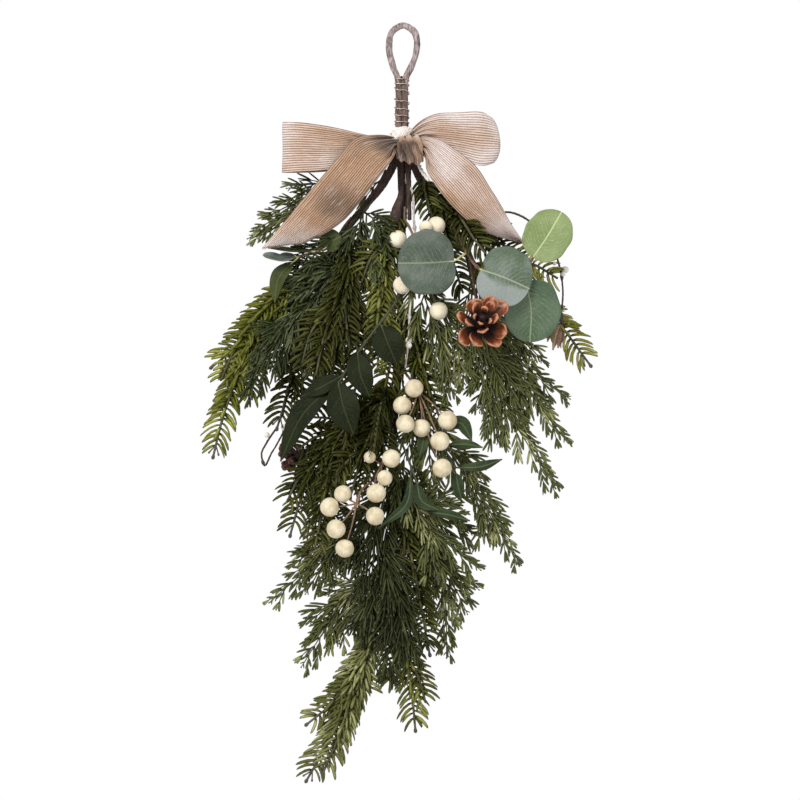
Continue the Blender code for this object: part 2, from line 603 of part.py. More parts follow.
# Berries: cream foam balls, each pushed on the end of its own thin stem.
BERRY_SPRAYS = [
    ("berry_spray_upper", "main", -152, 75, [(4, -9, -172), (7, -14, -186)],
     [([(7, -14, -186), (2, -18, -192), (-5, -20, -198)], BERRY_R),
      ([(7, -14, -186), (18, -18, -184), (29, -20, -184)], BERRY_R),
      ([(7, -14, -186), (12, -17, -184), (19, -22, -180)], 5.0),
      ([(7, -14, -186), (4, -22, -215), (-1, -25, -243)], BERRY_R),
      ([(7, -14, -186), (17, -22, -225), (33, -26, -267)], BERRY_R)]),
    ("berry_spray_centre", "main", -306, 60, [(6, -14, -330), (14, -22, -342)],
     [([(14, -22, -342), (12, -27, -341), (10, -31, -339)], BERRY_R),
      ([(14, -22, -342), (6, -26, -348), (-1, -30, -355)], BERRY_R),
      ([(14, -22, -342), (8, -34, -360), (2, -40, -372)], BERRY_R),
      ([(14, -22, -342), (17, -28, -360), (17, -30, -376)], BERRY_R),
      ([(14, -22, -342), (30, -30, -356), (41, -34, -369)], BERRY_R),
      ([(14, -22, -342), (26, -34, -368), (34, -42, -388)], BERRY_R),
      ([(14, -22, -342), (28, -36, -396), (36, -38, -413)], BERRY_R)]),
    ("berry_spray_middle", "main", -376, 120, [(-14, -20, -398), (-20, -30, -410)],
     [([(-20, -30, -410), (-15, -36, -408), (-11, -40, -404)], BERRY_R),
      ([(-20, -30, -410), (-20, -36, -418), (-17, -42, -422)], BERRY_R),
      ([(-20, -30, -410), (-26, -36, -424), (-25, -42, -436)], BERRY_R),
      ([(-20, -30, -410), (-26, -36, -406), (-31, -38, -403)], 5.6)]),
    ("berry_spray_low_left", "main", -384, 170, [(-28, -20, -424), (-40, -34, -436), (-43, -38, -446)],
     [([(-43, -38, -446), (-50, -38, -442), (-56, -38, -437)], BERRY_R),
      ([(-43, -38, -446), (-55, -41, -448), (-68, -42, -449)], BERRY_R),
      ([(-43, -38, -446), (-35, -42, -450), (-26, -45, -457)], BERRY_R),
      ([(-43, -38, -446), (-54, -42, -460), (-62, -44, -469)], BERRY_R),
      ([(-43, -38, -446), (-48, -42, -468), (-54, -43, -487)], BERRY_R)]),
]
for name, host, z, azimuth, points, twigs in BERRY_SPRAYS:
    pieces = [twig(host, z, azimuth, 10, 1.3, points, 8.0, 1.2)]
    for line, size in twigs:
        path = smooth(line, 14.0)
        pieces.append(tube(path, BERRY_STEM_R, 3, tip=path[-1] + (path[-1] - path[-2]).normalized() * 2))
        pieces.append(ball(line[-1], size))
    fuse(name, pieces)


# A cone scale: a plate from the core, widest near its end and bent up at its tip.
def scale(root, out, axis, length, width, thick):
    side = out.cross(axis).normalized()
    rows = []
    for u, w, lift in ((0.0, 0.25, 0.0), (0.72, 1.0, 0.06), (1.0, 0.55, 0.26)):
        c = root + out * (length * u) + axis * (length * lift)
        rows.append([c - side * (0.5 * width * w), c + side * (0.5 * width * w)])
    return sheet(rows, thick)


def cone(name, stem, centre, axis, size, seed):
    rng = random.Random(seed)
    axis = Vector(axis).normalized()
    centre = Vector(centre)
    ref = axis.cross(Vector((0.3, 0.2, 1.0))).normalized()
    other = axis.cross(ref)
    core = [centre - axis * size * 0.42, centre - axis * size * 0.2, centre, centre + axis * size * 0.2,
            centre + axis * size * 0.36]
    pieces = [stem, tube(core, [size * 0.14, size * 0.22, size * 0.2, size * 0.15, size * 0.08], 5)]
    rows = ((-0.26, 7, 0.46, 0.25, -0.15), (-0.06, 7, 0.50, 0.25, 0.28), (0.14, 5, 0.36, 0.20, 0.85),
            (0.28, 2, 0.22, 0.14, 2.2))
    for k, (h, count, length, width, lean) in enumerate(rows):
        for m in range(count):
            a = 2 * math.pi * (m + 0.5 * (k % 2)) / count + rng.uniform(-0.08, 0.08)
            radial = ref * math.cos(a) + other * math.sin(a)
            out = (radial + axis * lean).normalized()
            up = (axis - out * axis.dot(out)).normalized()
            root = centre + axis * (h * size) + radial * (size * 0.06)
            pieces.append(scale(root, out, up, size * length, size * width, 1.3))
    return fuse(name, pieces)


cone("pine_cone_right", twig("right", -196, 60, 8, 1.2, [(64, -18, -232), (68, -30, -258), (70, -42, -274)], 6.0),
     (72, -58, -276), (0.05, -1, -0.18), 46.0, 13)
cone("pine_cone_left", twig("main", -356, 188, 8, 1.2, [(-40, 4, -380), (-70, 7, -392), (-92, 8, -400)], 8.0),
     (-104, 6, -406), (-0.75, -0.5, -0.3), 40.0, 16)

# Vine tendrils and the thin twig with white pips.
fuse("tendril_right", [twig("right", -150, 330, 6, 1.0,
                            [(52, 12, -172), (80, 12, -178), (98, 10, -172), (120, 7, -181), (139, 5, -201),
                             (148, 5, -225), (151, 6, -250), (149, 6, -272)], 10.0)])
fuse("tendril_left", [twig("left", -238, 250, 5, 0.9,
                           [(-90, 19, -272), (-104, 20, -312), (-111, 18, -350), (-120, 12, -376), (-129, 9, -390),
                            (-134, 8, -401), (-131, 8, -412), (-125, 10, -401), (-117, 13, -387)], 9.0)])
pip_path = [(10, -4, -160), (14, -8, -185), (12, -13, -215), (8, -20, -245), (6, -25, -270), (5, -26, -293),
            (2, -25, -320)]
fuse("pip_twig", [twig("main", -136, 30, 8, 1.1, pip_path, 12.0), ball((5, -26.4, -293), 2.6)])
# Brown wrapping wound round the main stem half way down.
wrap = []
for k in range(3 * 8 + 1):
    z = -288.0 - 9.0 * k / 24.0
    i = min(range(len(hosts["main"])), key=lambda m: abs(hosts["main"][m].z - z))
    c = hosts["main"][i]
    a = 2 * math.pi * k / 8.0
    reach = STEM_R + GAP + 0.9
    wrap.append(Vector((c.x + reach * math.cos(a), c.y + reach * math.sin(a), z)))
fuse("stem_wrap", [tube(wrap, 0.9, 3)])


# Tries a needle, then the same one turned or shortened, until one stays clear of everything else.
def place(root, t, out, across, lean, length, r0, tree, own):
    for turn, size in ((0, 1.0), (14, 1.0), (-14, 1.0), (0, 0.8), (30, 0.9), (-30, 0.9), (0, 0.6)):
        a = math.radians(turn)
        d = out * math.cos(a) + across * math.sin(a)
        tip = root + (t * math.cos(lean) + d * math.sin(lean)).normalized() * (length * size)
        if not clear(tree, root, tip, r0, 0.2):
            continue
        if any(near(root, tip, p, q) < 1.35 for p, q in own if (p - root).length < 30):
            continue
        own.append((root, tip))
        return tip
    return None


def fir_shoot(path, start, tree, own, rng):
    tans, norms = frames(path)
    needles = {}
    n = len(path) - 1
    for i in range(start, n):
        t = (tans[i] + tans[i + 1]).normalized()
        front = norms[i]
        flat = t.cross(front)
        mid = (path[i] + path[i + 1]) * 0.5
        u = (i - start) / max(1.0, n - start)
        size = FIR_NEEDLE * (0.86 + 0.14 * math.sin(math.pi * min(1.0, u * 1.2))) * (1.0 if u < 0.85 else 0.8)
        for j in range(4):
            a = math.pi * j / 2.0 + rng.uniform(-0.2, 0.2)
            if j % 2 == 0:
                a += 0.5 if i % 2 else -0.5
            out = (front * (0.62 * math.cos(a)) + flat * math.sin(a)).normalized()
            across = t.cross(out)
            lean = math.radians(57 - 22 * u + rng.uniform(-5, 5))
            if j == 0:
                lean *= 0.85
            root = mid + (front * math.cos(math.pi * j / 2.0) + flat * math.sin(math.pi * j / 2.0)) * FIR_R * 0.7
            tip = place(root, t, out, across, lean, size * rng.uniform(0.92, 1.06), 2.2, tree, own)
            if tip is not None:
                needles[(i, j)] = tip
    end = path[-1]
    d = tans[-1]
    radii = [FIR_R] * (n + 1) + [2.1, 2.4, 1.5]
    line = list(path) + [end + d * 1.6, end + d * 4.2, end + d * 6.2]
    return tube(line, radii, 4, needles, end + d * 7.2)


def cedar_shoot(path, start, tree, own, rng):
    tans, norms = frames(path)
    needles = {}
    n = len(path) - 1
    for i in range(start, n):
        t = (tans[i] + tans[i + 1]).normalized()
        front = norms[i]
        flat = t.cross(front)
        mid = (path[i] + path[i + 1]) * 0.5
        u = (i - start) / max(1.0, n - start)
        k = i % 6
        hand = 1.0 if k < 3 else -1.0
        j = 1 if k < 3 else 2
        size = CEDAR_NEEDLE * (1.0 - 0.42 * u ** 1.5)
        lean = math.radians((66, 44, 25)[k % 3] + rng.uniform(-5, 5))
        out = (flat * hand + front * rng.uniform(-0.25, 0.15)).normalized()
        tip = place(mid + flat * (hand * CEDAR_R * 0.6), t, out, t.cross(out), lean, size, 1.5, tree, own)
        if tip is not None:
            needles[(i, j)] = tip
        if k % 3 != 2 or u > 0.9:
            out = (flat * hand * 0.75 + front * 0.6).normalized()
            lean = math.radians((52, 30, 22)[k % 3] + rng.uniform(-5, 5))
            tip = place(mid + front * (CEDAR_R * 0.6), t, out, t.cross(out), lean, size * 0.9, 1.5, tree, own)
            if tip is not None:
                needles[(i, 0)] = tip
    radii = blended(CEDAR_R + 0.25, CEDAR_R - 0.1, n + 1)
    return tube(path, radii, 3, needles, path[-1] + tans[-1] * 7.0)


rng = random.Random(7)
for name, kind, host, z, azimuth, along, points, side in SPRAYS:
    own = []
    pieces = []
    for k, path in enumerate(stems[name]):
        tree = others_tree(name, [p for p in stems[name] if p is not path], STEM_OF[kind])
        bare = int((along + (14 if kind == "fir" else 12)) / STEP_OF[kind]) if k == 0 else 2
        shoot = fir_shoot if kind == "fir" else cedar_shoot
        pieces.append(shoot(path, bare, tree, own, rng))
    fuse(name, pieces)

COLOURS = [
    ("hanging_loop", (0.20, 0.15, 0.11), 0.9), ("handle_wire", (0.36, 0.30, 0.22), 0.5),
    ("main_stem", (0.06, 0.035, 0.025), 0.85), ("branch", (0.06, 0.035, 0.025), 0.85),
    ("stem_wrap", (0.12, 0.06, 0.04), 0.9), ("tie_cord", (0.80, 0.76, 0.68), 0.9),
    ("bow", (0.55, 0.40, 0.27), 0.95), ("fir_spray_left_lower", (0.045, 0.075, 0.03), 0.6),
    ("fir", (0.07, 0.10, 0.025), 0.6), ("cedar", (0.035, 0.07, 0.035), 0.6),
    ("eucalyptus", (0.13, 0.20, 0.15), 0.55), ("laurel", (0.025, 0.05, 0.03), 0.5),
    ("olive", (0.05, 0.08, 0.035), 0.5), ("berry", (0.80, 0.72, 0.52), 0.8),
    ("pine_cone", (0.24, 0.09, 0.035), 0.8), ("tendril", (0.06, 0.04, 0.035), 0.8),
    ("pip_twig", (0.16, 0.13, 0.11), 0.8),
]
for obj in list(bpy.data.objects):
    for start, colour, rough in COLOURS:
        if obj.name.startswith(start):
            mat = bpy.data.materials.new(obj.name)
            mat.use_nodes = True
            shader = mat.node_tree.nodes["Principled BSDF"]
            shader.inputs["Base Color"].default_value = (colour[0], colour[1], colour[2], 1.0)
            shader.inputs["Roughness"].default_value = rough
            obj.data.materials.clear()
            obj.data.materials.append(mat)
            break
    for v in obj.data.vertices:
        v.co = v.co * MM
    obj.data.update()
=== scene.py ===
import math

import bpy
import numpy as np
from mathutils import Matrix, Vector
from mathutils.bvhtree import BVHTree


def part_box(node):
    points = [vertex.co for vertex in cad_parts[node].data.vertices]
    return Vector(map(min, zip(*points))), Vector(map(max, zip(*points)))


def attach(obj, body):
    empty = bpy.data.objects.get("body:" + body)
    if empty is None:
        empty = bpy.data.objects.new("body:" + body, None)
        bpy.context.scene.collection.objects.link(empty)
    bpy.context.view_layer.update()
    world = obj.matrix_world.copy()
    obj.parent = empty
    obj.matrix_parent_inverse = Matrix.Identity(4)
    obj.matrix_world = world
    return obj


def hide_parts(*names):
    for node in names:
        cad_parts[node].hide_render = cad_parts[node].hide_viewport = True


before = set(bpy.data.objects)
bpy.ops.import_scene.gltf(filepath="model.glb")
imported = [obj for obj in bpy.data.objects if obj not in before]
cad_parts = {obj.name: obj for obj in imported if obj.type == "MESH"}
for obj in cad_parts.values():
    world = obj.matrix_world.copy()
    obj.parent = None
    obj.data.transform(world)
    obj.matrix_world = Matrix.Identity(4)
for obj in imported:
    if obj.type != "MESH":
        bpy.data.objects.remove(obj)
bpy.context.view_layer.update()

# All sizes and places are millimetres, as the swag is laid out, and each finished mesh is scaled to metres.
# X is to the right seen from the front, Z is up, and the front faces -Y.
MM = 0.001
FRONT = np.array((0.0, -1.0, 0.0))
# A whole turn in radians, near enough for a random start.
CIRCLE = 6.28


# Main stem and side stems
# The backbone is one dark natural stick, with two thinner sticks that leave it behind the bow.
# They are real wood with the bark on, so they are ribbed and slightly crooked.
MAIN_STEM = [(-1.5, 6.6, -45), (-1.5, 6.8, -90), (-1, 7, -128), (-1, 5, -175), (-3, 3, -256),
             (-4, 3, -323), (-8, 3, -378), (-10, 3, -444), (-12, 3, -524)]
LEFT_STEM = [(-7.9, 7.2, -106), (-8.2, 7.2, -120), (-17, 6.5, -142), (-35, 4, -167), (-53, 2, -188),
             (-67, 0, -216), (-76, 0, -250)]
RIGHT_STEM = [(5.6, 7.2, -106), (6.2, 7.2, -120), (13, 6.5, -136), (25, 5, -156), (41, 3, -178),
              (57, 1, -205), (67, 0, -238)]
STEM_RADII = (3.2, 2.4)
SIDE_STEM_RADII = (3.0, 1.8)
KNOT_FOOT = -112
STRAND_ENDS = {"main": -250, "left": -232, "right": -232}
STRAND_TURNS = (0.0, 2.2, 4.3)
STRAND_RADII = (1.45, 0.9)
STRAND_WAVE = 46.0
STUB = [(-1, 3, -146), (-3, 0, -160), (-7, -2, -174), (-9, -2, -190)]
SPUR = [(4.5, 2, -112), (5, 1, -138), (5.5, 0, -160), (6, -1, -180)]


def unit(v):
    return v / np.maximum(np.linalg.norm(v, axis=-1, keepdims=True), 1e-9)


def run_of(path):
    """How far along the line each of its points is."""
    return np.r_[0.0, np.cumsum(np.linalg.norm(np.diff(path, axis=0), axis=1))]


def read(rows, run, at):
    """The rows' values at the given places of their run."""
    return np.stack([np.interp(at, run, rows[:, k]) for k in range(3)], axis=1)


def bent(points, step):
    """A smooth line through the given points, read at even steps."""
    pts = np.array(points, float)
    gaps = np.linalg.norm(np.diff(pts, axis=0), axis=1)[:, None]
    dirs = np.diff(pts, axis=0) / gaps
    inner = (dirs[:-1] * gaps[1:] + dirs[1:] * gaps[:-1]) / (gaps[:-1] + gaps[1:])
    tans = np.vstack([dirs[:1], inner, dirs[-1:]])
    t = np.linspace(0.0, 1.0, 13)[None, 1:, None]
    p, q = pts[:-1, None], pts[1:, None]
    u, v = (tans[:-1] * gaps)[:, None], (tans[1:] * gaps)[:, None]
    dense = (p * (2 * t ** 3 - 3 * t * t + 1) + u * (t ** 3 - 2 * t * t + t)
             + q * (3 * t * t - 2 * t ** 3) + v * (t ** 3 - t * t))
    dense = np.vstack([pts[:1], dense.reshape(-1, 3)])
    run = run_of(dense)
    at = np.linspace(0.0, run[-1], max(2, int(round(run[-1] / step))) + 1)
    return read(dense, run, at)


def carried(path):
    """Directions along a line, with a front and a flank that are carried along it without twist."""
    tans = unit(np.vstack([path[1:2] - path[:1], path[2:] - path[:-2], path[-1:] - path[-2:-1]]))
    front = FRONT if abs(tans[0] @ FRONT) < 0.9 else np.array((1.0, 0.0, 0.0))
    fronts = np.empty_like(path)
    for i, t in enumerate(tans):
        front = unit(front - t * (front @ t))
        fronts[i] = front
    return tans, fronts, np.cross(tans, fronts)


# A rod's ribs: how many go round it, and how long the waves are in which they swell and fade.
BARK_WAVES = ((2, 31.0), (3, 17.0), (5, 12.0), (6, 6.5), (9, 4.0))


def rod(path, radii, sides, ribs=0.0, seed=0):
    """A closed round rod. Its ribs swell and fade along it, as bark does."""
    tans, fronts, flanks = carried(path)
    n = len(path)
    a = np.linspace(0.0, 2 * np.pi, sides, endpoint=False)[None]
    s = run_of(path)[:, None]
    r = np.broadcast_to(np.asarray(radii, float).reshape(-1, 1), (n, 1)) * np.ones_like(a)
    rng = np.random.default_rng(seed)
    for turns, wave in BARK_WAVES:
        high = rng.uniform(0.5, 1.0)
        r = r * (1 + ribs * high * np.sin(turns * a + CIRCLE * s / wave + rng.uniform(0, CIRCLE)))
    rings = (path[:, None] + fronts[:, None] * (r * np.cos(a))[..., None]
             + flanks[:, None] * (r * np.sin(a))[..., None])
    ends = np.array([path[0] - tans[0] * r[0].mean() * 0.5, path[-1] + tans[-1] * r[-1].mean() * 0.5])
    k = np.arange(sides)
    m = (k + 1) % sides
    base = (np.arange(n - 1) * sides)[:, None]
    last = (n - 1) * sides
    quads = np.stack([base + k, base + m, base + m + sides, base + k + sides], axis=-1).reshape(-1, 4)
    tris = np.vstack([np.stack([m, k, np.full(sides, n * sides)], 1),
                      np.stack([last + k, last + m, np.full(sides, n * sides + 1)], 1)])
    return np.vstack([rings.reshape(-1, 3), ends]), quads, tris, None


def placed(name, data):
    made = bpy.data.objects.new(name, data)
    bpy.context.scene.collection.objects.link(made)
    return made


class Stock:
    """The points and faces of one piece, gathered while it is made. Each point carries three numbers."""

    def __init__(self):
        self.points, self.quads, self.tris, self.marks = [], [], [], []
        self.quad_finish, self.tri_finish = [], []
        self.count = 0

    def add(self, shape, finish=0, mark=(0.0, 0.0, 0.0)):
        points, quads, tris, marks = shape
        self.points.append(points)
        self.quads.append(quads + self.count)
        self.tris.append(tris + self.count)
        self.marks.append(np.tile(mark, (len(points), 1)) if marks is None else marks)
        self.quad_finish += [finish] * len(quads)
        self.tri_finish += [finish] * len(tris)
        self.count += len(points)

    def make(self, name, *finishes):
        mesh = bpy.data.meshes.new(name)
        faces = np.vstack(self.quads).tolist() + np.vstack(self.tris).tolist()
        mesh.from_pydata((np.vstack(self.points) * MM).tolist(), [], faces)
        mesh.polygons.foreach_set("material_index", self.quad_finish + self.tri_finish)
        mesh.shade_smooth()
        mark = mesh.attributes.new("mark", "FLOAT_VECTOR", "POINT")
        mark.data.foreach_set("vector", np.vstack(self.marks).astype(np.float32).ravel())
        for finish in finishes:
            mesh.materials.append(finish)
        return placed(name, mesh)


def hang(piece, node):
    """The piece hangs with the swag and stands for its plain solid."""
    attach(piece, "root")
    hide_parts(node)
    return piece


def ink(*screen):
    """A colour as it is read from a screen, turned into the shader's linear one."""
    linear = [((c / 255 + 0.055) / 1.055) ** 2.4 if c > 10 else c / 3294.6 for c in screen]
    return (*linear, 1.0)


def put(tree, kind, sockets=None, **settings):
    """Adds a shader node. A socket is given a value, or another node's output to be linked to."""
    made = tree.nodes.new("ShaderNode" + kind)
    for key, value in settings.items():
        setattr(made, key, value)
    for key, value in (sockets or {}).items():
        if isinstance(value, bpy.types.NodeSocket):
            tree.links.new(value, made.inputs[key])
        else:
            made.inputs[key].default_value = value
    return made


def calc(tree, how, a, b=0.0, c=0.0):
    return put(tree, "Math", {0: a, 1: b, 2: c}, operation=how).outputs[0]


def times(tree, a, b, plus=0.0):
    return calc(tree, "MULTIPLY_ADD", a, b, plus)


def mixed(tree, factor, a, b, how="MIX"):
    return put(tree, "Mix", {0: factor, 6: a, 7: b}, data_type="RGBA", blend_type=how).outputs[2]


def shaded(tree, colour, light):
    """The colour, lighter or darker by an even factor."""
    even = put(tree, "CombineXYZ", {0: light, 1: light, 2: light}).outputs[0]
    return mixed(tree, 1.0, colour, even, "MULTIPLY")


def between(tree, value, low, high, out_low=0.0, out_high=1.0):
    """Turns a range of values into another one, with soft ends."""
    return put(tree, "MapRange", {0: value, 1: low, 2: high, 3: out_low, 4: out_high},
               interpolation_type="SMOOTHSTEP").outputs[0]


def place_on(tree):
    return put(tree, "TexCoord").outputs["Object"]


def noise(tree, place, scale, detail=2.0):
    return put(tree, "TexNoise", {"Vector": place, "Scale": scale, "Detail": detail}).outputs[0]


def marks_of(tree):
    mark = put(tree, "Attribute", attribute_name="mark")
    return put(tree, "SeparateXYZ", {0: mark.outputs["Vector"]}).outputs


def effect(name, inputs, outputs):
    """An empty node group, with its inputs' outputs and its outputs' inputs."""
    tree = bpy.data.node_groups.new(name, "ShaderNodeTree")
    for label, value in inputs.items():
        kind = "NodeSocketFloat" if isinstance(value, float) else "NodeSocketColor"
        tree.interface.new_socket(label, in_out="INPUT", socket_type=kind).default_value = value
    for label, kind in outputs.items():
        tree.interface.new_socket(label, in_out="OUTPUT", socket_type="NodeSocket" + kind)
    return tree, tree.nodes.new("NodeGroupInput").outputs, tree.nodes.new("NodeGroupOutput").inputs


def use(tree, group, **values):
    made = tree.nodes.new("ShaderNodeGroup")
    made.node_tree = group
    for key, value in values.items():
        made.inputs[key].default_value = value
    return made.outputs


def finish(name, roughness, **fixed):
    """A new material with its even values set on the shader."""
    material = bpy.data.materials.new(name)
    material.use_nodes = True
    shader = material.node_tree.nodes["Principled BSDF"]
    shader.inputs["Roughness"].default_value = roughness
    for key, value in fixed.items():
        shader.inputs[key.replace("_", " ")].default_value = value
    return material, material.node_tree


def dress(material, colour, height, depth, strength=1.0):
    """Colours the surface and raises it by the given height. The depth is in metres at full strength."""
    tree = material.node_tree
    shader = tree.nodes["Principled BSDF"]
    tree.links.new(colour, shader.inputs["Base Color"])
    bump = put(tree, "Bump", {"Height": height, "Distance": depth, "Strength": strength})
    tree.links.new(bump.outputs[0], shader.inputs["Normal"])
    return material


# Wear is shared by the bark, the cone, the twigs, the cord and the wire: broad stains and long fine fibres.
wear, given, gives = effect("weathering", {"Grain": 900.0, "Stain": 60.0, "Fibre": 0.25},
                            {"Tone": "Float", "Height": "Float"})
place = place_on(wear)
long_way = put(wear, "CombineXYZ", {0: 1.0, 1: 1.0, 2: given["Fibre"]}).outputs[0]
stretched = put(wear, "VectorMath", {0: place, 1: long_way}, operation="MULTIPLY").outputs[0]
fibres = noise(wear, stretched, given["Grain"], 4.0)
stains = noise(wear, place, given["Stain"], 3.0)
wear.links.new(between(wear, times(wear, fibres, 0.6, times(wear, stains, 0.4)), 0.3, 0.7), gives["Tone"])
wear.links.new(times(wear, fibres, 0.75, times(wear, stains, 0.25)), gives["Height"])


def aged(name, dark, light, grain=700.0, depth=0.0008, roughness=0.85, stain=90.0, fibre=0.22, **fixed):
    """A worn surface of two tones. A low fibre value draws the grain out lengthwise."""
    material, tree = finish(name, roughness, **fixed)
    worn = use(tree, wear, Grain=grain, Stain=stain, Fibre=fibre)
    return dress(material, mixed(tree, worn["Tone"], ink(*dark), ink(*light)), worn["Height"], depth)


stem_bark = aged("stem_bark", (28, 18, 16), (84, 62, 54))
sticks = {}
for key, node, line, (thick, thin) in (("main", "main_stem", MAIN_STEM, STEM_RADII),
                                       ("left", "branch_left", LEFT_STEM, SIDE_STEM_RADII),
                                       ("right", "branch_right", RIGHT_STEM, SIDE_STEM_RADII)):
    path = bent(line, 1.6)
    sticks[key] = (path, np.linspace(thick, thin, len(path)))
    stick = Stock()
    stick.add(rod(path, sticks[key][1], 20, ribs=0.05, seed=len(path)))
    # The sprays' own thin stems lie along it below the knot, a little twisted.
    fronts, flanks = carried(path)[1:]
    beside = (path[:, 2] < KNOT_FOOT) & (path[:, 2] > STRAND_ENDS[key])
    for k, start in enumerate(STRAND_TURNS):
        turn = (start + run_of(path) / STRAND_WAVE)[:, None]
        strand = path + (fronts * np.cos(turn) + flanks * np.sin(turn)) * (sticks[key][1] + 0.5)[:, None]
        stick.add(rod(strand[beside], np.linspace(*STRAND_RADII, beside.sum()), 9, ribs=0.08, seed=20 + k))
    if key == "main":
        # A cut stub of bark flares where a side stick was broken off, and a second cut end lies at its right.
        stub, spur = bent(STUB, 1.5), bent(SPUR, 1.5)
        stick.add(rod(stub, np.linspace(1.8, 6.4, len(stub)), 18, ribs=0.06, seed=5))
        stick.add(rod(spur, np.linspace(3.0, 1.9, len(spur)), 14, ribs=0.08, seed=6))
    hang(stick.make(node + "_wood", stem_bark), node)


# Hanging loop and handle
# A bark-covered vine is bent into an eye, and its two ends run down side by side as the handle.
# The bark is grey-brown and finely cracked, and the vine swells and thins a little along its length.
LOOP_RADIUS = 3.0
LEG_RADIUS = 3.3
LEG_PLACES = (1.7, -4.3)
EYE = [(1.7, 0, -56), (2.0, 0, -50), (3.4, 0, -44), (7.6, 0, -36), (11.6, 0, -25), (13.1, 0, -14),
       (10.4, 0, -3), (0.0, 0, 3.0), (-10.0, 0, -2.5), (-13.3, 0, -14), (-12.2, 0, -26), (-9.0, 0, -37),
       (-5.7, 0, -45), (-4.6, 0, -50), (-4.3, 0, -56)]
vine_bark = aged("vine_bark", (62, 48, 46), (186, 170, 168), grain=800.0)
leg_bark = aged("leg_bark", (40, 28, 26), (134, 112, 102), grain=700.0, depth=0.0012)
loop = Stock()
path = bent(EYE, 1.2)
swell = 1 + 0.05 * np.sin(run_of(path) / 7.0) + 0.04 * np.sin(run_of(path) / 2.9 + 1.0)
loop.add(rod(path, LOOP_RADIUS * swell, 20, ribs=0.035, seed=3))
for k, x in enumerate(LEG_PLACES):
    path = bent([(x, 0, -48), (x - 0.3 + 0.6 * k, 0.2, -70), (x, 0, -92), (x, 0.4, -112)], 1.2)
    swell = 0.96 + 0.04 * np.sin(run_of(path) / 5.0 + k)
    loop.add(rod(path, LEG_RADIUS * swell, 24, ribs=0.06, seed=7 + k), 1)
hang(loop.make("hanging_loop_vine", vine_bark, leg_bark), "hanging_loop")


# Binding wire
# Fine light wire is wound by hand round the two legs and the stem, so its turns are not even.
# It is dull drawn steel, pulled tight round the bundle.
WIRE_RADIUS = 0.5
WIRE_HEIGHTS = (-46.5, -51.2, -55.6, -66.5, -74.5, -80.4, -87.4, -90.4)
WIRE_TURNS = len(WIRE_HEIGHTS) - 1
STEM_BEHIND = (-1.5, 6.7, 3.3)
wire_metal = aged("binding_wire", (150, 128, 116), (226, 210, 200), 1500.0, 0.0001, 0.42, 200.0, 1.0,
                  Metallic=0.85)
bundle = [(LEG_PLACES[1], 0.0, LEG_RADIUS + 0.1), (LEG_PLACES[0], 0.0, LEG_RADIUS + 0.1), STEM_BEHIND]
wind = []
for a in np.arange(0.0, WIRE_TURNS * 2 * np.pi, 0.2):
    d = np.array((math.cos(a + math.pi), math.sin(a + math.pi)))
    x, y, r = max(bundle, key=lambda c: c[0] * d[0] + c[1] * d[1] + c[2])
    z = np.interp(a / (2 * np.pi), range(len(WIRE_HEIGHTS)), WIRE_HEIGHTS)
    wind.append((x + d[0] * (r + WIRE_RADIUS), y + d[1] * (r + WIRE_RADIUS), z))
wire = Stock()
wire.add(rod(bent(wind, 0.9), WIRE_RADIUS, 8))
hang(wire.make("handle_wire_turns", wire_metal), "handle_wire")


# Tie cord
# Soft white cotton cord ties the bow on: one and a half times round the bundle, then down behind the knot.
# It is two plies twisted together, and its upper end is teased out.
CORD_RADIUS = 1.8
CORD_TWIST = 9.0
CORD = [(-13, -9, -104), (-12, -7.5, -99), (-6, -6.8, -95.6), (3, -6.8, -95.6), (8.6, -2, -96.2),
        (7, 7, -97), (-1.5, 12.6, -98), (-9.4, 7, -99), (-11, 0, -99.8), (-7, -6.4, -100.4),
        (2, -6.6, -100.8), (8.2, -3.4, -101.6), (12.2, 1.2, -106), (14.0, 1.4, -114), (14.2, -1.5, -126),
        (17, -7, -134), (24, -9, -144)]
cotton = aged("cotton_cord", (226, 212, 202), (255, 250, 246), 2600.0, 0.0003, 0.9, 300.0, 0.6,
              Sheen_Weight=0.3)
path = bent(CORD, 0.8)
fronts, flanks = carried(path)[1:]
twist = run_of(path)[:, None] * 2 * np.pi / CORD_TWIST
cord = Stock()
for ply in (0.0, math.pi):
    ply_line = path + (fronts * np.cos(twist + ply) + flanks * np.sin(twist + ply)) * (CORD_RADIUS * 0.46)
    cord.add(rod(ply_line, CORD_RADIUS * 0.62, 10, ribs=0.03, seed=2))
# The teased end is a soft wad of fibres that lies over the upper left of the knot.
FIBRES = 330
FIBRE_RADIUS = 0.26
wad = bent([(-10, -24, -108), (-7, -25, -104.5), (-1, -25, -101), (6, -22, -97.5)], 1.5)
wad_size = np.interp(np.linspace(0, 1, len(wad)), (0, 0.2, 0.5, 0.8, 1), (1.6, 3.8, 4.8, 3.8, 1.4))
cord.add(rod(wad, wad_size, 18, ribs=0.05, seed=6))
rng = np.random.default_rng(17)
tans, fronts, flanks = carried(wad)
for k in range(FIBRES):
    at = rng.uniform(0, len(wad) - 1)
    turn = rng.uniform(0, CIRCLE)
    drift, swing = rng.normal(0, 2.4), rng.normal(0, 0.8)
    line = []
    for s in (0.0, 0.33, 0.66, 1.0):
        i = int(np.clip(at + drift * s, 0, len(wad) - 1))
        across = fronts[i] * math.cos(turn + swing * s) + flanks[i] * math.sin(turn + swing * s)
        out = wad_size[i] * (0.97 + 0.1 * math.sin(3.14 * s)) + 0.25
        line.append(wad[i] + across * out + tans[i] * drift * s * 0.4)
    # Every ninth fibre stands away at its end.
    if k % 9 == 0:
        line[-1] = line[-1] + unit(line[-1] - wad[i]) * rng.uniform(0.6, 2.2) + rng.normal(0, 0.6, 3)
    cord.add(rod(bent(np.array(line) + rng.normal(0, 0.02, (4, 3)), 1.2), FIBRE_RADIUS, 4))
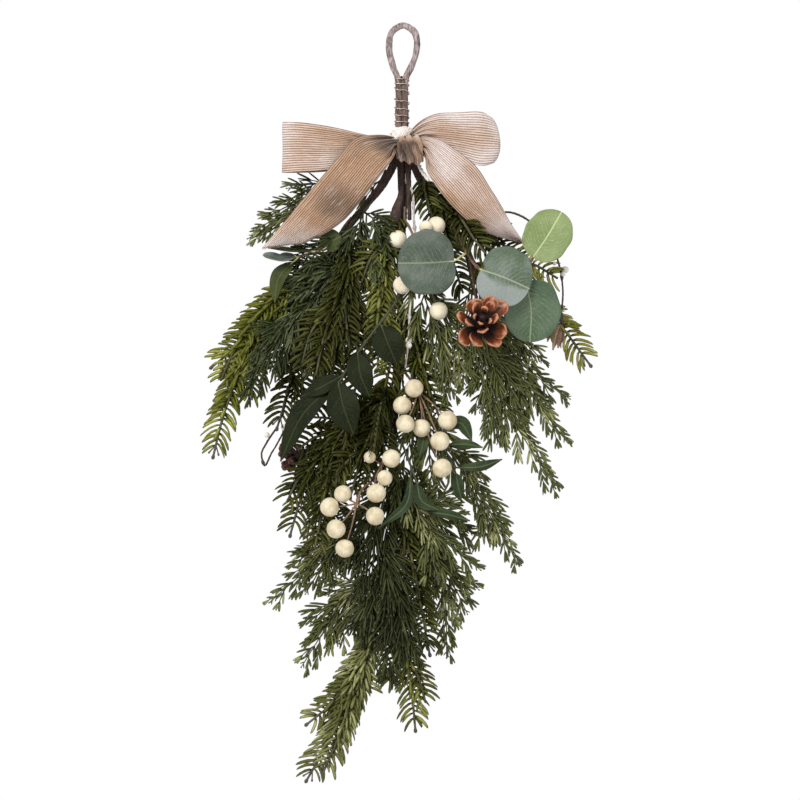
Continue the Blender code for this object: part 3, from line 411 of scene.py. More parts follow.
hang(cord.make("tie_cord_plies", cotton), "tie_cord")


# Bow
# Burlap ribbon two inches wide is tied in a bow of two loops and two tails, and is gathered in the knot.
# Its thick ribs run lengthwise with thin weft between them, and its cut ends fray.
RIBBON_WIDE = 50.0
RIBBON_THICK = 0.7
RIB_PITCH = 2.38
RIB_STEPS = 4
RIB_HEIGHT = 0.10
PLEATS = 4
PLEAT_DEPTH = 2.4
PLEAT_REACH = 42
SLACK = 0.7
RIBBON_STEP = 2.2


def plate(grid, thick, marks=None):
    """A thin closed plate over a grid of points: its front, its back and the rim between them."""
    rows, cols = grid.shape[:2]
    normal = unit(np.cross(np.gradient(grid, axis=0), np.gradient(grid, axis=1)))
    half = np.broadcast_to(np.asarray(thick, float), (rows, cols))[..., None] * 0.5 * normal
    h = rows * cols
    at = np.arange(h).reshape(rows, cols)
    a, b, c, d = (x.ravel() for x in (at[:-1, :-1], at[:-1, 1:], at[1:, 1:], at[1:, :-1]))
    rims = [(at[1:, 0], at[:-1, 0]), (at[-1, 1:], at[-1, :-1]), (at[:-1, -1], at[1:, -1]),
            (at[0, :-1], at[0, 1:])]
    quads = [np.stack([a, d, c, b], 1), np.stack([a, b, c, d], 1) + h]
    quads += [np.stack([p, q, q + h, p + h], 1) for p, q in rims]
    if marks is not None:
        marks = np.vstack([marks.reshape(-1, 3)] * 2)
    return (np.vstack([(grid + half).reshape(-1, 3), (grid - half).reshape(-1, 3)]), np.vstack(quads),
            np.zeros((0, 3), int), marks)


def burlap_finish(name, smooth):
    """Open burlap in threads along the ribbon. Where it is pulled tight its threads close and show less."""
    material, tree = finish(name, 0.88, Sheen_Weight=0.25)
    # The third mark holds painted highlights and painted shade on the cloth.
    across, length, painted_light = marks_of(tree)
    cloth_place = put(tree, "CombineXYZ", {0: across, 1: times(tree, length, 0.06)}).outputs[0]
    slubs = noise(tree, cloth_place, 0.9, 3.0)
    wander = times(tree, slubs, 1.1, across)
    rib, yarn, weft = (times(tree, calc(tree, "COSINE", times(tree, way, rate)), 0.5, 0.5)
                       for way, rate in ((wander, 6.283 / RIB_PITCH), (across, 10.5), (length, 7.0)))
    stain = noise(tree, place_on(tree), 22.0)
    fleck = noise(tree, place_on(tree), 1400.0)
    tone = calc(tree, "ADD", times(tree, between(tree, stain, 0.35, 0.65), 0.36, 0.12), painted_light)
    # The tone adds the cloth's own stains to the painted highlight and painted shade of the third mark. The
    # raised threads and the gaps each run from their own middle tone to two lighter and two darker ones.
    tones = []
    for first, *others in (((198, 160, 128), (222, 196, 178), (248, 238, 234), (124, 101, 82), (70, 42, 20)),
                           ((112, 78, 54), (132, 100, 82), (176, 152, 142), (66, 42, 28), (34, 18, 8))):
        colour = ink(*first)
        for other, (low, high) in zip(others, ((0.0, 0.5), (0.45, 1.0), (0.0, -0.5), (-0.5, -1.0))):
            colour = mixed(tree, between(tree, tone, low, high), colour, ink(*other))
        tones.append(colour)
    warm, deep = tones
    threads = mixed(tree, between(tree, rib, 0.06, 0.62), deep, warm)
    threads = mixed(tree, between(tree, slubs, 0.55, 0.75, 0.0, 0.5), threads, ink(250, 238, 228))
    threads = mixed(tree, times(tree, weft, 0.14), threads, ink(150, 116, 92))
    threads = mixed(tree, between(tree, fleck, 0.3, 0.7, 0.0, 0.3), threads, ink(150, 118, 96), "MULTIPLY")
    threads = mixed(tree, smooth, threads, mixed(tree, 0.42, deep, warm))
    height = times(tree, yarn, 0.25, times(tree, weft, 0.3, rib))
    return dress(material, threads, height, 0.0005 * (1 - smooth))


burlap = burlap_finish("burlap", 0.0)


def ribbon(name, edge_a, edge_b, cup, seed, painted_light_patches, turn_in=(0.0, 0.0), bulge=0.0):
    """Ribbon between two edge lines. It folds into pleats near the knot and lies smooth away from it.

    Each patch is painted highlight, and painted shade where its last value is below zero: its place along and
    across, its reach both ways, and how much lighter it makes the ribbon.
    """
    a, b = bent(edge_a, 1.0), bent(edge_b, 1.0)
    n = int(max(len(a), len(b)) / RIBBON_STEP)
    t = np.linspace(0.0, 1.0, n + 1)
    a, b = (read(edge, np.linspace(0, 1, len(edge)), t) for edge in (a, b))
    cols = int(RIBBON_WIDE / RIB_PITCH) * RIB_STEPS + 1
    v = np.linspace(0.0, 1.0, cols)
    grid = a[:, None] + (b - a)[:, None] * v[None, :, None]
    normal = unit(np.cross(np.gradient(grid, axis=0), np.gradient(grid, axis=1)))
    wide = np.linalg.norm(b - a, axis=1)[:, None]
    rng = np.random.default_rng(seed)
    spare = np.sqrt(np.maximum(0.0, (RIBBON_WIDE / wide) ** 2 - 1))
    depth = np.minimum(PLEAT_DEPTH, wide / (4 * PLEATS) * spare)
    depth = depth * np.clip((0.95 - wide / wide.max()) / 0.5, 0.04, 1.0)
    middle = (a + b) / 2
    off = np.linalg.norm(middle - middle[0], axis=1)[:, None]
    depth = depth * np.clip(1.5 - off / PLEAT_REACH, 0.04, 1.0)
    wave = np.zeros((n + 1, cols))
    for turns in (PLEATS - 1, PLEATS, PLEATS + 1.5):
        lean = rng.uniform(-1.2, 1.2)
        high = rng.uniform(0.4, 0.9)
        wave += high * np.sin(2 * np.pi * turns * v[None] + rng.uniform(0, CIRCLE) + lean * t[:, None])
    ribs = RIB_HEIGHT * np.cos(2 * np.pi * v * RIBBON_WIDE / RIB_PITCH)[None]
    slack = SLACK * np.sin(2 * np.pi * (v[None] * 0.8 + t[:, None] * 1.3) + seed)
    curl = (turn_in[0] * np.clip(1 - v / 0.10, 0, 1) ** 2
            + turn_in[1] * np.clip((v - 0.90) / 0.10, 0, 1) ** 2)
    grid = grid + normal * (depth * wave + ribs + slack)[..., None]
    belly = (4 * v * (1 - v))[None]
    grid[..., 1] += -cup * belly * np.sin(math.pi * np.minimum(1.0, 0.15 + t))[:, None] + curl[None]
    grid[..., 0] += bulge * belly ** 0.6 * np.exp(-((t[:, None] - 0.5) / 0.07) ** 2)
    marks = np.zeros(grid.shape)
    marks[..., 0] = v[None] * RIBBON_WIDE
    marks[..., 1] = run_of(middle)[:, None]
    for along, over, reach, spread, painted_light in painted_light_patches:
        far = ((t[:, None] - along) / reach) ** 2 + ((v[None] - over) / spread) ** 2
        marks[..., 2] += painted_light * np.exp(-far)
    cloth = Stock()
    cloth.add(plate(grid, RIBBON_THICK, marks))
    return hang(cloth.make(name + "_ribbon", burlap), name), grid


# The list after each seed holds that ribbon's patches of painted highlight and painted shade.
loop_left, _ = ribbon(
    "bow_loop_left",
    [(-3.0, -17, -108), (-7.4, -16, -107), (-31, -22, -103.5), (-69, -24, -95), (-102, -21, -90.5),
     (-112, -11, -89.5), (-102, -2, -90), (-69, 1, -95), (-31, -3, -103.5), (-7.4, -8, -107),
     (-3.0, -9, -108)],
    [(-3.0, -17, -115), (-7.4, -16, -116), (-31, -22, -126), (-69, -24, -135), (-102, -21, -137),
     (-113, -11, -137), (-102, -2, -136), (-69, 1, -134), (-31, -3, -124), (-7.4, -8, -115),
     (-3.0, -9, -114)], 0.0, 4,
    [(0.5, 0.5, 0.06, 0.6, 0.5), (0.38, 0.8, 0.14, 0.3, 0.3), (0.3, 0.45, 0.12, 0.25, 0.12),
     (0.1, 0.2, 0.08, 0.5, -0.3), (0.25, 0.03, 0.3, 0.05, 0.3), (0.46, 0.2, 0.06, 0.3, 0.3)], bulge=-1.0)
loop_right, _ = ribbon(
    "bow_loop_right",
    [(4, -17, -102), (8, -17, -97), (16, -19, -89.5), (29, -22, -83.5), (52, -24, -82), (74, -21, -81.5),
     (83, -11, -86), (76, -2, -82), (56, 1, -81), (33, -3, -86), (18, -8, -96), (10, -9, -104)],
    [(8, -17, -110), (13, -17, -112), (20, -19, -114), (32, -22, -120), (54, -24, -126), (73, -21, -131.5),
     (83, -11, -128), (75, -2, -129), (56, 1, -125), (33, -3, -117), (20, -8, -112),
     (12, -9, -109)], 0.0, 9,
    [(0.3, 0.0, 0.22, 0.28, 0.75), (0.4, 0.95, 0.16, 0.3, 0.6), (0.5, 0.4, 0.06, 0.7, 0.6),
     (0.12, 0.5, 0.12, 0.5, 0.2), (0.27, 0.5, 0.12, 0.2, -0.2)], bulge=8.0)
tail_left, left_edge = ribbon(
    "bow_tail_left",
    [(-2.5, -25, -106), (-7.4, -26, -105.5), (-26, -30, -104), (-43, -33, -106.5), (-61, -34, -126),
     (-80, -34, -148), (-99, -33, -171), (-115, -32, -190), (-131, -30, -208)],
    [(-2.5, -25, -114), (-7.4, -26, -115), (-9, -30, -123), (-16, -31, -134), (-27, -31, -148),
     (-40, -31, -165), (-55, -29, -182), (-72, -26, -194), (-94, -22, -204)], 2.0, 12,
    [(0.4, 0.5, 0.45, 2.0, -0.45), (0.38, 0.5, 0.14, 0.4, 0.14), (0.2, 0.2, 0.09, 0.25, -0.2),
     (0.08, 0.5, 0.1, 0.4, -0.7), (0.6, 0.75, 0.22, 0.8, -0.42), (0.66, 0.5, 0.16, 0.4, -0.12),
     (1.0, 0.4, 0.16, 0.8, 0.95), (0.25, 1.0, 0.2, 0.08, 0.5)], turn_in=(3.0, 5.0))
tail_right, right_edge = ribbon(
    "bow_tail_right",
    [(15.5, -25, -105), (20.0, -26, -104), (35, -31, -109), (52, -34, -120), (68, -37, -134),
     (80, -38, -153), (91, -38, -171), (100, -37, -187), (110, -34, -200)],
    [(15.5, -24, -120), (20.0, -24, -123), (22, -27, -136), (31, -28, -151), (43, -28, -166),
     (57, -26, -180), (72, -24, -191), (89, -22, -198), (106, -20, -202)], 1.0, 21,
    [(0.3, 0.45, 0.25, 0.6, 0.45), (1.0, 0.5, 0.2, 0.8, 1.1), (0.14, 0.4, 0.12, 0.5, 0.3),
     (0.4, 1.0, 0.14, 0.25, -0.6)],
    turn_in=(3.0, 2.0))

# The knot is a length of the same ribbon wrapped round the gathered middle, with its own small folds.
KNOT_FOLDS = 3.2
KNOT_CREASES = 10.0
KNOT_FOLD_DEPTH = 1.8
KNOT_SLANT = 0.45
KNOT_ROUND = 0.8
KNOT_WRAP = 92
low, high = (np.array(c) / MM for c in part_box("bow_knot"))
centre, half = (low + high) / 2, (high - low) / 2
cols = 21 * RIB_STEPS + 1
v = np.linspace(-1.0, 1.0, cols)[None]
a = np.linspace(0.0, 2 * np.pi * 0.985, 97)[:, None] + math.pi * 0.5
slant = v + KNOT_SLANT * np.sin(a - 0.5)
fold = np.sin(math.pi * KNOT_FOLDS * slant + 0.9 * np.sin(a * 2 + 1.0))
fold = fold + 0.3 * np.sin(math.pi * KNOT_CREASES * slant + 2.0)
barrel = 0.92 - 0.24 * np.abs(v) ** 3 + 0.02 * np.sin(a * 3)
c, s = np.cos(a), np.sin(a)
grid = np.zeros((a.size, cols, 3))
grid[..., 0] = centre[0] + half[0] * v * (0.92 + 0.08 * np.sin(a) ** 2)
grid[..., 1] = centre[1] - (half[1] * barrel + KNOT_FOLD_DEPTH * fold) * np.sign(c) * np.abs(c) ** KNOT_ROUND
grid[..., 2] = centre[2] + (half[2] * barrel + KNOT_FOLD_DEPTH * fold) * np.sign(s) * np.abs(s) ** KNOT_ROUND
grid[..., 2] -= 2.2 * v * np.clip(-s, 0, 1)
# Painted light and shade: it is lighter on top, below and to the right as painted light, and darker at the
# left, in its folds and in a spot as painted shade.
marks = np.zeros(grid.shape)
marks[..., 0] = (v + 1) * RIBBON_WIDE / 2
marks[..., 1] = (a - a[0]) / CIRCLE * KNOT_WRAP
marks[..., 2] = 0.66 * np.clip((s - 0.3) / 0.5, 0, 1) - 0.42 + 0.3 * np.clip((-0.72 - s) / 0.25, 0, 1)
marks[..., 2] -= (0.85 * np.exp(-((v + 0.55) / 0.42) ** 2 - ((s + 0.1) / 0.6) ** 2)
                  + 0.35 * np.clip(-fold, 0, 1))
marks[..., 2] += 0.34 * np.clip(v, 0, 1) - 0.7 * np.exp(-((v - 0.2) / 0.22) ** 2 - ((s - 0.2) / 0.2) ** 2)
cloth = Stock()
cloth.add(plate(grid, RIBBON_THICK, marks))
knot = hang(cloth.make("bow_knot_ribbon", burlap_finish("burlap_tight", 0.6)), "bow_knot")

# Loose threads stand out of the two cut ends.
fray = Stock()
rng = np.random.default_rng(31)
for edge in (left_edge, right_edge):
    last, before = edge[-1], edge[-3]
    for k in range(1, len(last) - 1, 1):
        way = unit(last[k] - before[k])
        drop = np.array((0.0, 0.0, -1.0)) * rng.uniform(0.0, 0.5) + rng.normal(0, 0.16, 3)
        size = rng.uniform(1.0, 3.6)
        line = [last[k] - way * 0.8, last[k] + way * size * 0.5, last[k] + unit(way + drop) * size]
        fray.add(rod(bent(line, 1.2), np.linspace(0.2, 0.08, len(bent(line, 1.2))), 4),
                 mark=(k / (len(last) - 1) * RIBBON_WIDE, 0.0, 0.0))
frayed = fray.make("bow_frayed_ends", burlap)
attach(frayed, "root")


# Eucalyptus
# Round leaves are printed cloth on a thin moulded stalk, each dimpled along its midrib and slightly cupped.
# They are blue-green with pale veins, the youngest yellow-green and the small ones olive, on pinkish twigs.
LEAF_THICK = 0.6
TIE_GAP = 0.3


def tied(host, z, azimuth, along, points, r):
    """The line of a twig that is tied to a stem over a short length and then goes its own way."""
    path, thick = sticks[host]
    a = math.radians(azimuth)
    out = np.array((math.cos(a), -math.sin(a), 0.0))
    held = []
    for zz in (z, z - along / 2, z - along):
        here = [np.interp(-zz, -path[:, 2], path[:, k]) for k in range(3)]
        i = min(len(path) - 1, max(1, int(np.searchsorted(-path[:, 2], -zz))))
        t = unit(path[i] - path[i - 1])
        held.append(np.array(here) + unit(out - t * (out @ t)) * (thick[i] + r + TIE_GAP))
    return held + [np.array(p, float) for p in points]


# Veins are shared by all leaves: a midrib, slanting side veins that fade at the edge, and a fine net.
veins, given, gives = effect("leaf_veins", {"Pairs": 8.0, "Slant": 3.0, "Width": 0.12},
                             {"Vein": "Float", "Height": "Float", "Net": "Float"})
across, length, wide = marks_of(veins)
off = calc(veins, "ABSOLUTE", across)
rib = between(veins, times(veins, off, wide), 1.1, 0.2)
other_side = times(veins, calc(veins, "GREATER_THAN", across, 0.0), 0.5)
bow = times(veins, calc(veins, "POWER", off, 1.3), given["Slant"])
object_place = place_on(veins)
drift = noise(veins, object_place, 130.0)
phase = calc(veins, "SUBTRACT", times(veins, length, given["Pairs"], other_side), bow)
phase = times(veins, drift, 1.5, phase)
line = calc(veins, "PINGPONG", phase, 0.5)
side = between(veins, line, given["Width"], 0.02)
side = times(veins, side, between(veins, off, 1.0, 0.25))
patchy = noise(veins, object_place, 260.0)
side = times(veins, side, between(veins, patchy, 0.38, 0.58, 0.25, 1.0))
cells = put(veins, "TexVoronoi", {"Vector": object_place, "Scale": 620.0}, feature="DISTANCE_TO_EDGE")
net = between(veins, cells.outputs[0], 0.12, 0.0)
veins.links.new(calc(veins, "MAXIMUM", rib, times(veins, side, 0.7)), gives["Vein"])
veins.links.new(times(veins, net, 0.2, calc(veins, "MAXIMUM", rib, side)), gives["Height"])
veins.links.new(net, gives["Net"])


def leaf_finish(name, body, pale, vein, bloom_side=0.0, shine=0.3, pairs=12.0, slant=4.6, vein_share=0.75):
    """Leaf colour: body to pale in soft patches, a bloom on one half, and pale veins."""
    material, tree = finish(name, 0.52, Specular_IOR_Level=shine)
    lines = use(tree, veins, Pairs=pairs, Slant=slant, Width=0.13)
    spot = place_on(tree)
    patch = noise(tree, spot, 45.0, 3.0)
    grain = noise(tree, spot, 1100.0)
    half = times(tree, patch, 0.9, times(tree, marks_of(tree)[0], bloom_side, -0.45))
    half = times(tree, between(tree, half, 0.0, 0.32), abs(bloom_side))
    soft = times(tree, between(tree, patch, 0.35, 0.7), 0.55)
    soft = calc(tree, "MAXIMUM", soft, times(tree, half, 0.9))
    colour = mixed(tree, soft, ink(*body), ink(*pale))
    colour = mixed(tree, times(tree, lines["Net"], 0.2), colour, ink(*vein))
    colour = mixed(tree, times(tree, lines["Vein"], vein_share), colour, ink(*vein))
    colour = shaded(tree, colour, between(tree, grain, 0.2, 0.8, 0.86, 1.08))
    return dress(material, colour, times(tree, grain, 0.2, lines["Height"]), 0.0004, 0.8)


def stalk_finish(name, dark, light):
    return aged(name, dark, light, grain=900.0, depth=0.0003, roughness=0.6)


def leaf(name, node, material, stalk, points, width, shape, face, cup=0.12, crease=0.06, wave=0.02,
         seed=0):
    """A leaf on its stalk. The four points are the stalk's root and the blade's start, middle and tip."""
    root, start, middle, tip = (np.array(p, float) for p in points)
    blade = bent([start, middle, tip], np.linalg.norm(tip - start) / 34)
    n = len(blade)
    u = 0.5 - 0.5 * np.cos(np.linspace(0.0, math.pi, n))
    blade = read(blade, np.linspace(0, 1, n), u)
    lobe = 0.0
    if shape == "round":
        half = 0.5 * width * np.maximum(0.0, 1 - np.abs(2 * u ** 0.94 - 1) ** 2.1) ** 0.5
        lobe = 0.15 * (1 - u[:, None]) ** 3
    else:
        half = 0.5 * width * np.maximum(0.04, np.sin(math.pi * u ** 0.85)) ** 0.85
    half = np.maximum(0.7, half)
    face = unit(np.array(face, float))
    tans = carried(blade)[0]
    side = unit(np.cross(tans, face))
    up = np.cross(side, tans)
    v = np.linspace(-1.0, 1.0, 21)[None]
    rng = np.random.default_rng(seed + 1)
    edge = 1 + wave * np.sin(u[:, None] * 19 + rng.uniform(0, CIRCLE) + np.sign(v) * 1.7) * np.abs(v)
    rise = half[:, None] * (cup * v ** 2 + crease * np.abs(v))
    ripple = np.sin(u[:, None] * 11 + rng.uniform(0, CIRCLE) + v * 2)
    rise = rise + wave * 1.6 * half[:, None] * np.abs(v) ** 2 * ripple
    rise = rise - 0.45 * np.exp(-(v * half[:, None] / 1.3) ** 2)
    grid = (blade[:, None] + side[:, None] * (half[:, None] * v * edge)[..., None]
            + up[:, None] * rise[..., None])
    grid = grid - tans[:, None] * (lobe * half[:, None] * np.abs(v) ** 1.5)[..., None]
    marks = np.zeros(grid.shape)
    marks[..., 0], marks[..., 1], marks[..., 2] = v, u[:, None], half[:, None]
    made = Stock()
    made.add(plate(grid, LEAF_THICK, marks))
    rest = bent([root, (root + start) / 2 - up[0] * 0.4, start - up[0] * 0.3,
                 blade[n // 4] - up[n // 4] * 0.9], 1.5)
    made.add(rod(rest, np.linspace(1.15, 0.45, len(rest)), 8), finish=1)
    return hang(made.make(name, material, stalk), node)


def twig(stock, path, radii, ribs=0.05, nodes=(), seed=1, finish=0):
    """A twig, thicker at its nodes, where leaves or berries leave it."""
    r = np.interp(np.linspace(0, 1, len(path)), np.linspace(0, 1, len(radii)), radii)
    run = run_of(path)
    for at in nodes:
        r = r + 0.8 * np.exp(-((run - at * run[-1]) / 2.0) ** 2)
    stock.add(rod(path, r, 10, ribs=ribs, seed=seed), finish)


euc_twig = stalk_finish("eucalyptus_twig", (70, 48, 38), (128, 92, 74))
euc_stalk = stalk_finish("eucalyptus_stalk", (150, 150, 96), (202, 196, 140))
euc_blue = leaf_finish("eucalyptus_blue", (52, 66, 54), (112, 117, 112), (150, 158, 130), vein_share=0.55)
euc_cool = leaf_finish("eucalyptus_cool", (66, 86, 64), (136, 142, 140), (164, 172, 148), 1.0)
euc_young = leaf_finish("eucalyptus_young", (108, 126, 74), (144, 158, 108), (196, 206, 152))
euc_deep = leaf_finish("eucalyptus_deep", (58, 80, 58), (94, 108, 88), (142, 158, 118))
EUCALYPTUS = {
    "right": (tied("right", -160, 75, 8, [(48, -14, -190), (59, -25, -212), (68, -32, -226), (90, -35, -236),
                                          (112, -33, -230), (121, -31, -218)], 1.6),
              (1.6, 1.4, 1.2, 1.0), (0.45, 0.58, 0.9)),
    "left": (tied("left", -180, 140, 8, [(-68, -9, -205), (-84, -15, -212), (-99, -19, -216)], 1.4),
             (1.4, 1.1), (0.6,)),
}
olive_leaf = leaf_finish("olive_leaf", (42, 50, 22), (74, 84, 44), (104, 110, 70), shine=0.15, pairs=11.0,
                         vein_share=0.4)
# Each leaf: its look, its four points, its width and shape, where it faces, how cupped it is, and its seed.
LEAVES = {
    "right": {
        "a": (euc_blue, [(59, -25.5, -213), (47, -31, -221), (22, -36, -223), (-5, -33, -223)],
              61, "round", (0.05, -1, 0.1), 0.10, 0),
        "b": (euc_cool, [(69, -32.4, -227), (72, -34.5, -229), (92, -38, -236), (117, -36, -247)],
              57, "round", (0, -1, 0.12), 0.10, 1),
        "c": (euc_young, [(119.5, -31.4, -221), (121, -28, -217), (134, -28, -198), (147.5, -26, -175)],
              44, "round", (-0.1, -1, 0), 0.14, 2),
        "d": (euc_deep, [(111, -33.2, -230.5), (114, -29, -240), (119, -27, -266), (118, -24, -296)],
              54, "round", (0.1, -1, -0.1), 0.12, 3)},
    "left": {
        "a": (euc_cool, [(-97, -18.5, -215.5), (-101, -19, -216), (-116, -21, -219), (-131, -20, -214)],
              28, "round", (0.1, -0.3, 0.95), 0.1, 10),
        "b": (olive_leaf, [(-76, -12, -209), (-73, -15, -208), (-69, -17, -203), (-58, -19, -197)],
              22, "round", (0.1, -0.8, 0.3), 0.1, 11),
        "d": (olive_leaf, [(-82, -14, -211), (-86, -17, -211), (-106, -20, -211), (-126, -22, -208)],
              22, "round", (0.05, -0.22, 1.0), 0.1, 12),
        "c": (olive_leaf, [(-98, -19, -216), (-103, -21, -221), (-116, -24, -236), (-120, -22, -259)],
              17, "oval", (-0.5, -0.8, 0.1), 0.1, 13)},
}
greens = []
for side, (line, radii, nodes) in EUCALYPTUS.items():
    node = "eucalyptus_spray_" + side
    stock = Stock()
    twig(stock, bent(line, 1.2), radii, nodes=nodes)
    hang(stock.make("eucalyptus_twig_" + side, euc_twig), node)
    for mark, (material, points, width, shape, face, cup, seed) in LEAVES[side].items():
        greens.append(leaf("eucalyptus_leaf_%s_%s" % (side, mark), node, material,
                           euc_stalk, points, width, shape, face, cup, seed=seed))


# Laurel
# Dark oval leaves of printed cloth, with a firm midrib and a slight wax, on one thin green twig.
# They lie over the fir in the middle of the swag, and their dark green is made darker still as painted shade.
laurel_leaf = leaf_finish("laurel_leaf", (16, 22, 8), (33, 40, 19), (68, 76, 44), shine=0.1, pairs=9.0,
                          slant=2.2, vein_share=0.45)
green_twig = stalk_finish("green_twig", (34, 38, 20), (66, 68, 38))
stock = Stock()
line = tied("main", -228, 78, 10, [(-4, -22, -252), (-12, -31, -266), (-24, -34, -282), (-36, -34, -298),
                                   (-48, -36, -315), (-57, -38, -330)], 1.4)
twig(stock, bent(line, 1.2), (1.4, 1.1), nodes=(0.5, 0.7, 0.95))
hang(stock.make("laurel_twig", green_twig), "laurel_spray")
LAUREL = [
    ([(-22, -33.6, -279), (-20, -37, -282), (-14, -40, -298), (-6, -36, -317)], 29, FRONT),
    ([(-38, -34, -302), (-42, -38, -306), (-40, -42, -325), (-31, -39, -347)], 24, FRONT),
    ([(-56, -38, -329), (-60, -40, -334), (-55, -45, -357), (-46, -41, -382)], 30, FRONT),
    ([(-57, -38, -330.5), (-64, -36, -336), (-91, -39, -361), (-114, -34, -407)], 22, (-0.3, -1, 0.2)),
    ([(-52, -37, -322), (-58, -36, -328), (-76, -38, -338), (-95, -34, -347)], 16, (0, -1, 0.4)),
]
for k, (points, width, face) in enumerate(LAUREL):
    greens.append(leaf("laurel_leaf_%d" % (k + 1), "laurel_spray", laurel_leaf, green_twig,
                       points, width, "oval", face, 0.14, 0.12, 0.03, seed=20 + k))


# Olive leaves
# Narrow grey-green leaves of the same printed cloth, on two short twigs among the berries.
# Each is folded a little along its midrib.
OLIVE = {
    "olive_spray_centre": (tied("main", -366, 75, 10, [(2, -20, -398), (8, -28, -414), (14, -31, -432),
                                                       (20, -31, -452)], 1.3), [
        ([(7.4, -27, -412), (7, -31, -420), (4, -37, -444), (-23, -35, -469)], 9, FRONT),
        ([(11, -30, -422), (13, -33, -428), (17, -38, -443), (33, -36, -452)], 12, FRONT),
        ([(20, -31, -452), (24, -33, -454), (40, -37, -456), (62, -33, -462)], 9, (0, -1, 0.4))]),
    "olive_spray_right": (tied("main", -344, 45, 10, [(14, -16, -372), (30, -23, -388), (42, -24, -402),
                                                      (47, -25, -414)], 1.3), [
        ([(36, -24, -393), (42, -27, -392), (57, -30, -391), (74, -27, -394)], 9, (0, -1, 0.5)),
        ([(46, -25, -412), (52, -28, -413), (72, -31, -412), (92, -27, -405)], 10, (0, -1, 0.5)),
        ([(47, -25, -414), (49, -29, -418), (51, -32, -430), (54, -29, -442)], 11, FRONT),
        ([(30, -23, -388), (40, -26, -376), (52, -28, -371), (64, -26, -388)], 13, (0.1, -1, 0.2)),
        ([(15, -17, -373), (19, -24, -381), (18, -28, -391), (15, -26, -402)], 11, FRONT)]),
}
olive_pale = leaf_finish("olive_pale", (28, 42, 18), (66, 80, 46), (104, 114, 80), shine=0.2, pairs=12.0,
                         vein_share=0.45)
for node, (line, blades_of) in OLIVE.items():
    stock = Stock()
    twig(stock, bent(line, 1.2), (1.3, 1.0), nodes=(0.8,))
    hang(stock.make(node + "_twig", green_twig), node)
    for k, (points, width, face) in enumerate(blades_of):
        greens.append(leaf("%s_leaf_%d" % (node, k + 1), node, olive_pale, green_twig,
                           points, width, "oval", face, 0.2, 0.15, 0.02, seed=30 + k))


# Berries
# Cream foam balls with a grainy painted skin, each pushed on the end of its own thin wire stem.
# They are slightly uneven, and each has a dimple where its stem goes in.
BERRY_RADIUS = 8.5
BERRY_STEM = 0.65
# Each spray: the stem that holds its twig, the height, the side and the twig's line. Then each berry:
# the middle and the end of its own stem, and its size.
BERRIES = {
    "berry_spray_upper": (("main", -168, 60, [(6, -9, -188), (11, -14, -200)]), [
        ((4, -18, -203), (-5, -20, -200), 1.0), ((20, -16, -194), (31, -18, -187), 1.0),
        ((15, -20, -195), (21, -27, -189), 0.72), ((6, -22, -219), (-1, -25, -243), 1.0),
        ((19, -22, -229), (33, -26, -267), 1.0)]),
    "berry_spray_centre": (("main", -306, 60, [(6, -14, -330), (14, -22, -342)]), [
        ((12, -27, -341), (10, -31, -339), 1.0), ((6, -26, -348), (-1, -30, -355), 1.0),
        ((8, -34, -360), (2, -40, -372), 1.0), ((17, -28, -360), (17, -30, -376), 1.0),
        ((30, -30, -356), (41, -34, -369), 1.05), ((26, -34, -368), (34, -42, -388), 1.05),
        ((28, -36, -396), (36, -38, -413), 1.05)]),
    "berry_spray_middle": (("main", -376, 120, [(-14, -20, -398), (-20, -30, -410)]), [
        ((-15, -36, -408), (-11, -40, -404), 1.0), ((-20, -36, -418), (-17, -42, -422), 0.85),
        ((-26, -36, -424), (-25, -42, -436), 1.05), ((-26, -36, -406), (-31, -38, -403), 0.66)]),
    "berry_spray_low_left": (("main", -384, 170, [(-28, -20, -424), (-40, -34, -436), (-43, -38, -446)]), [
        ((-50, -38, -442), (-56, -38, -437), 0.95), ((-55, -41, -448), (-68, -42, -449), 1.05),
        ((-35, -42, -450), (-26, -45, -457), 1.0), ((-54, -42, -460), (-62, -44, -469), 1.05),
        ((-48, -42, -468), (-54, -43, -487), 1.0)]),
}


def foam_finish(name, pale, tan):
    material, tree = finish(name, 0.74, Subsurface_Weight=0.05, Subsurface_Radius=(0.004, 0.003, 0.002))
    spot = place_on(tree)
    grain = noise(tree, spot, 1500.0, 3.0)
    blotch = noise(tree, spot, 120.0, 3.0)
    pits = put(tree, "TexVoronoi", {"Vector": spot, "Scale": 900.0}).outputs[0]
    cream = mixed(tree, between(tree, blotch, 0.35, 0.68), ink(*pale), ink(*tan))
    cream = mixed(tree, between(tree, grain, 0.35, 0.75, 0.0, 0.4), cream, ink(*(c - 24 for c in tan)))
    return dress(material, cream, times(tree, pits, 0.5, grain), 0.0004, 0.7)


white_foam = foam_finish("berry_foam_white", (238, 230, 208), (220, 206, 176))
cream_foam = foam_finish("berry_foam_cream", (226, 215, 188), (196, 181, 148))
berry_twig = stalk_finish("berry_twig", (76, 56, 44), (138, 110, 86))


